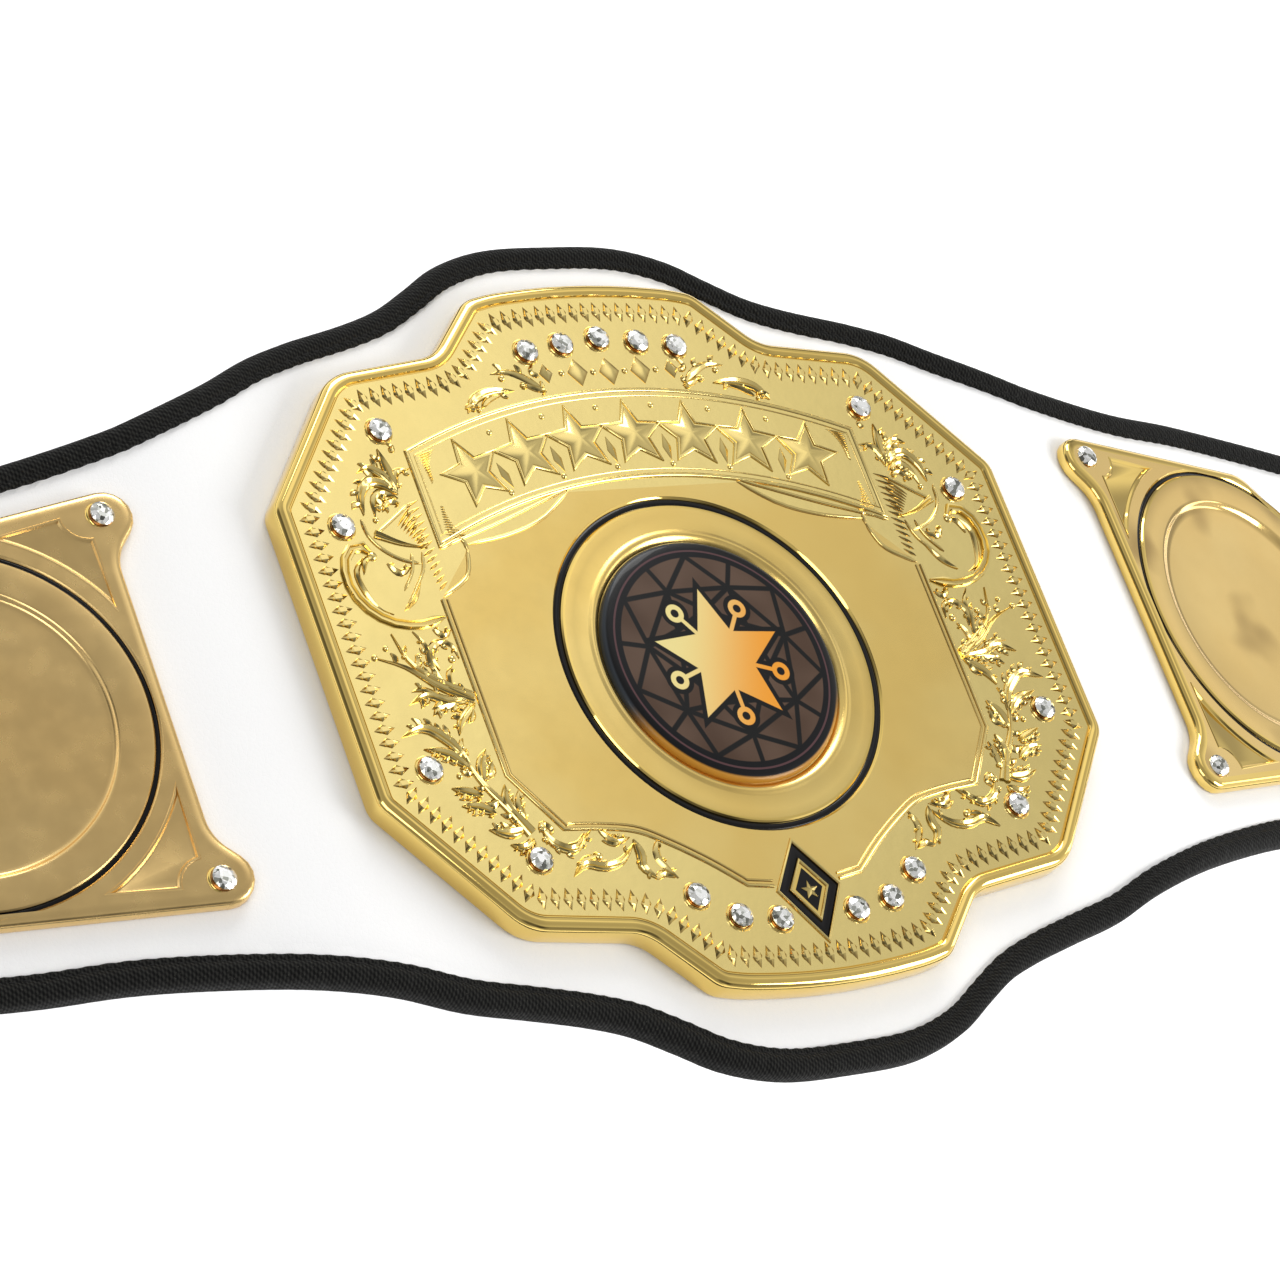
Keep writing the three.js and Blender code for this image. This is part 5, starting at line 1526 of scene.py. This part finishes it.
def sidePanels():
    arcRadius = side["enamelMiddle"] + side["panelGap"]
    edge, top, cut = side["inner"] - side["edgeGap"], side["high"] - side["topGap"], side["notch"]
    angles = np.linspace(side["panelHigh"], side["panelLow"], 12)
    arc = [(arcRadius * math.cos(a), arcRadius * math.sin(a)) for a in angles]
    angles = np.linspace(1.5 * math.pi, math.pi, 9)
    notch = [(edge + cut * math.cos(a), top + cut * math.sin(a)) for a in angles]
    loop = np.array(arc + notch)
    return [loop, loop[::-1] * (1, -1)]


def sidePlace(hand):
    spot = lay(hand * belt["sideAlong"], side["lift"], belt["faceHigh"])
    facing = Matrix.Rotation(math.pi if hand > 0 else 0, 4, "Z")
    return Matrix.Translation(spot) @ Matrix.Rotation(hand * belt["tilt"], 4, "Y") @ facing


def makeSidePlate(name, hand, golds):
    face = side["face"]
    ring = ringLoop(medal["groove"][0][0], (0, 0))
    panels = sidePanels()
    shell = plateShell(sideCorners(), (0, 0), side["rim"], face, [ring] + panels)
    dish = side["groove"][-1:] + side["seat" if hand > 0 else "seatSteep"]
    addTurned(shell, side["groove"], base=face)
    addTurned(shell, dish, base=face, kind=2)
    for loop in panels:
        rings = [atHeight(insetLoop(loop, inset), face + z) for inset, z in side["panel"]]
        shell.loft(rings, caps=(False, True))
    shell.moved(sidePlace(hand))
    return weld(shell.build(name, golds, outward=False), 30)


def sideStoneSpots(hand):
    place = sidePlace(hand)
    x, y = side["lobe"] - side["stoneIn"], side["high"] - side["stoneDown"]
    z = side["face"] - side["stoneSink"]
    return [tuple(place @ Vector((x, sign * y, z))) for sign in (1, -1)]


# Snap studs at the ends

snap = {
    "inset": 26.0, "pitch": 34.0, "around": 40,
    "profile": [(0, -3.75), (4.2, -3.75), (4.6, -3.5), (4.6, -2.8), (2.4, -2.8), (2.4, 2.8), (6.2, 2.8),
                (6.4, 3.05), (6.25, 3.5), (5.4, 4.1), (4.9, 4.35), (4.75, 4.2), (3.6, 4.2), (3.3, 4.55),
                (0, 4.6)],
}


def makeSnaps(finish):
    shell = Shell()
    outer = belt["halfLength"] - tape["width"] - snap["inset"]
    for hand in (-1, 1):
        for column in (0, 1):
            for row in (-1, 1):
                x, y, z = lay(hand * (outer - column * snap["pitch"]), row * snap["pitch"] / 2, 0)
                addTurned(shell, snap["profile"], snap["around"], (x, y), z)
    return shell.build("snapStuds", [finish], 30)


def stitchShape():
    shell = Shell()
    ends = ((-0.5, 0.12), (-0.42, 0.34), (-0.2, 0.5), (0.2, 0.5), (0.42, 0.34), (0.5, 0.12))
    shell.loft([[(x, y, z) for y, z, x in ringPoints(r, x, 0, 6)] for x, r in ends])
    return shell.build("stitchShape", [], 60)


def makeStitches(path, outward, finish):
    wide, sewn = tape["stitchWide"], path - outward * tape["sewn"]
    sizes = {"Pitch": tape["stitchPitch"] * mm, "Long": tape["stitchLong"], "Wide": wide, "High": wide}
    for name, up in (("faceStitches", tape["stitchHigh"]), ("backStitches", -tape["stitchHigh"])):
        own(alongPath(name, [lay(x, y, up) for x, y in sewn], stitchShape(), finish, sizes), "black_tape")


# Making it all

def makeFloor():
    half = studio["floorSize"] / 2
    mesh = bpy.data.meshes.new("paleFloor")
    corners = ((-half, -half), (half, -half), (half, half), (-half, half))
    mesh.from_pydata([(x, y, -studio["floorDrop"]) for x, y in corners], [], [(0, 1, 2, 3)])
    mesh.materials.append(floorFinish())
    floor = bpy.data.objects.new("paleFloor", mesh)
    bpy.context.scene.collection.objects.link(floor)


placeCamera()
placeLights()
paintRoom()
makeFloor()
print("stage 2: camera, lights and floor placed")

polished, field, satin, raised, sideSatin, sideBright = [goldFinish(name) for name in goldLooks]
amber, crystal, enamel = amberFinish(), crystalFinish(), plainFinish("blackEnamel")

own(makeCentrePlate([polished, field, satin]), "gold_plating", "center_plate")
own(makeSprays(raised), "gold_plating")
own(makeBanner([raised, field]), "gold_plating")
own(makeMarks(raised), "gold_plating")
print("stage 3: centre plate and its relief made")

centreEnamel = makeEnamel("centreEnamel", medal["enamel"], plate["medal"], plate["face"], enamel)
own(centreEnamel, "black_enamel", "center_enamel_ring")
own(makeInsert(printFinish()), "printed_insert", "center_insert")
band, star = makeBadge(enamel, raised)
own(band, "black_enamel", "badge_enamel")
own(star, "gold_plating")
makeStones("centreStone", centreStoneSpots(), nodesNamed("center_stone"))
print("stage 4: medallion, badge and stones made")

for hand, word in ((-1, "left"), (1, "right")):
    # the side plates take browned golds, painted shade for how they lie in the light
    golds = [polished, sideBright, sideBright] if hand > 0 else [sideSatin] * 3
    own(makeSidePlate(word + "SidePlate", hand, golds), "gold_plating", "side_plate_" + word)
    name = word + "SideEnamel"
    sideEnamel = makeEnamel(name, side["enamel"], (0, 0), side["face"], enamel, sidePlace(hand))
    own(sideEnamel, "black_enamel", "side_enamel_ring_" + word)
    makeStones(word + "SideStone", sideStoneSpots(hand), [f"side_stone_{word}_{k}" for k in (1, 2)])
print("stage 5: side plates made")

strapPiece = own(makeStrap(), "white_leather", "strap_panel")
bindingPiece, edgePath, edgeOutward = makeBinding(tapeFinish())
own(bindingPiece, "black_tape", "edge_binding")
makeStitches(edgePath, edgeOutward, plainFinish("blackThread"))
own(makeSnaps(plainFinish("snapNickel")), "snap_metal", *nodesNamed("snap_"))
print("stage 6: strap, binding and studs made")

bpy.context.scene.view_settings.view_transform = "Standard"
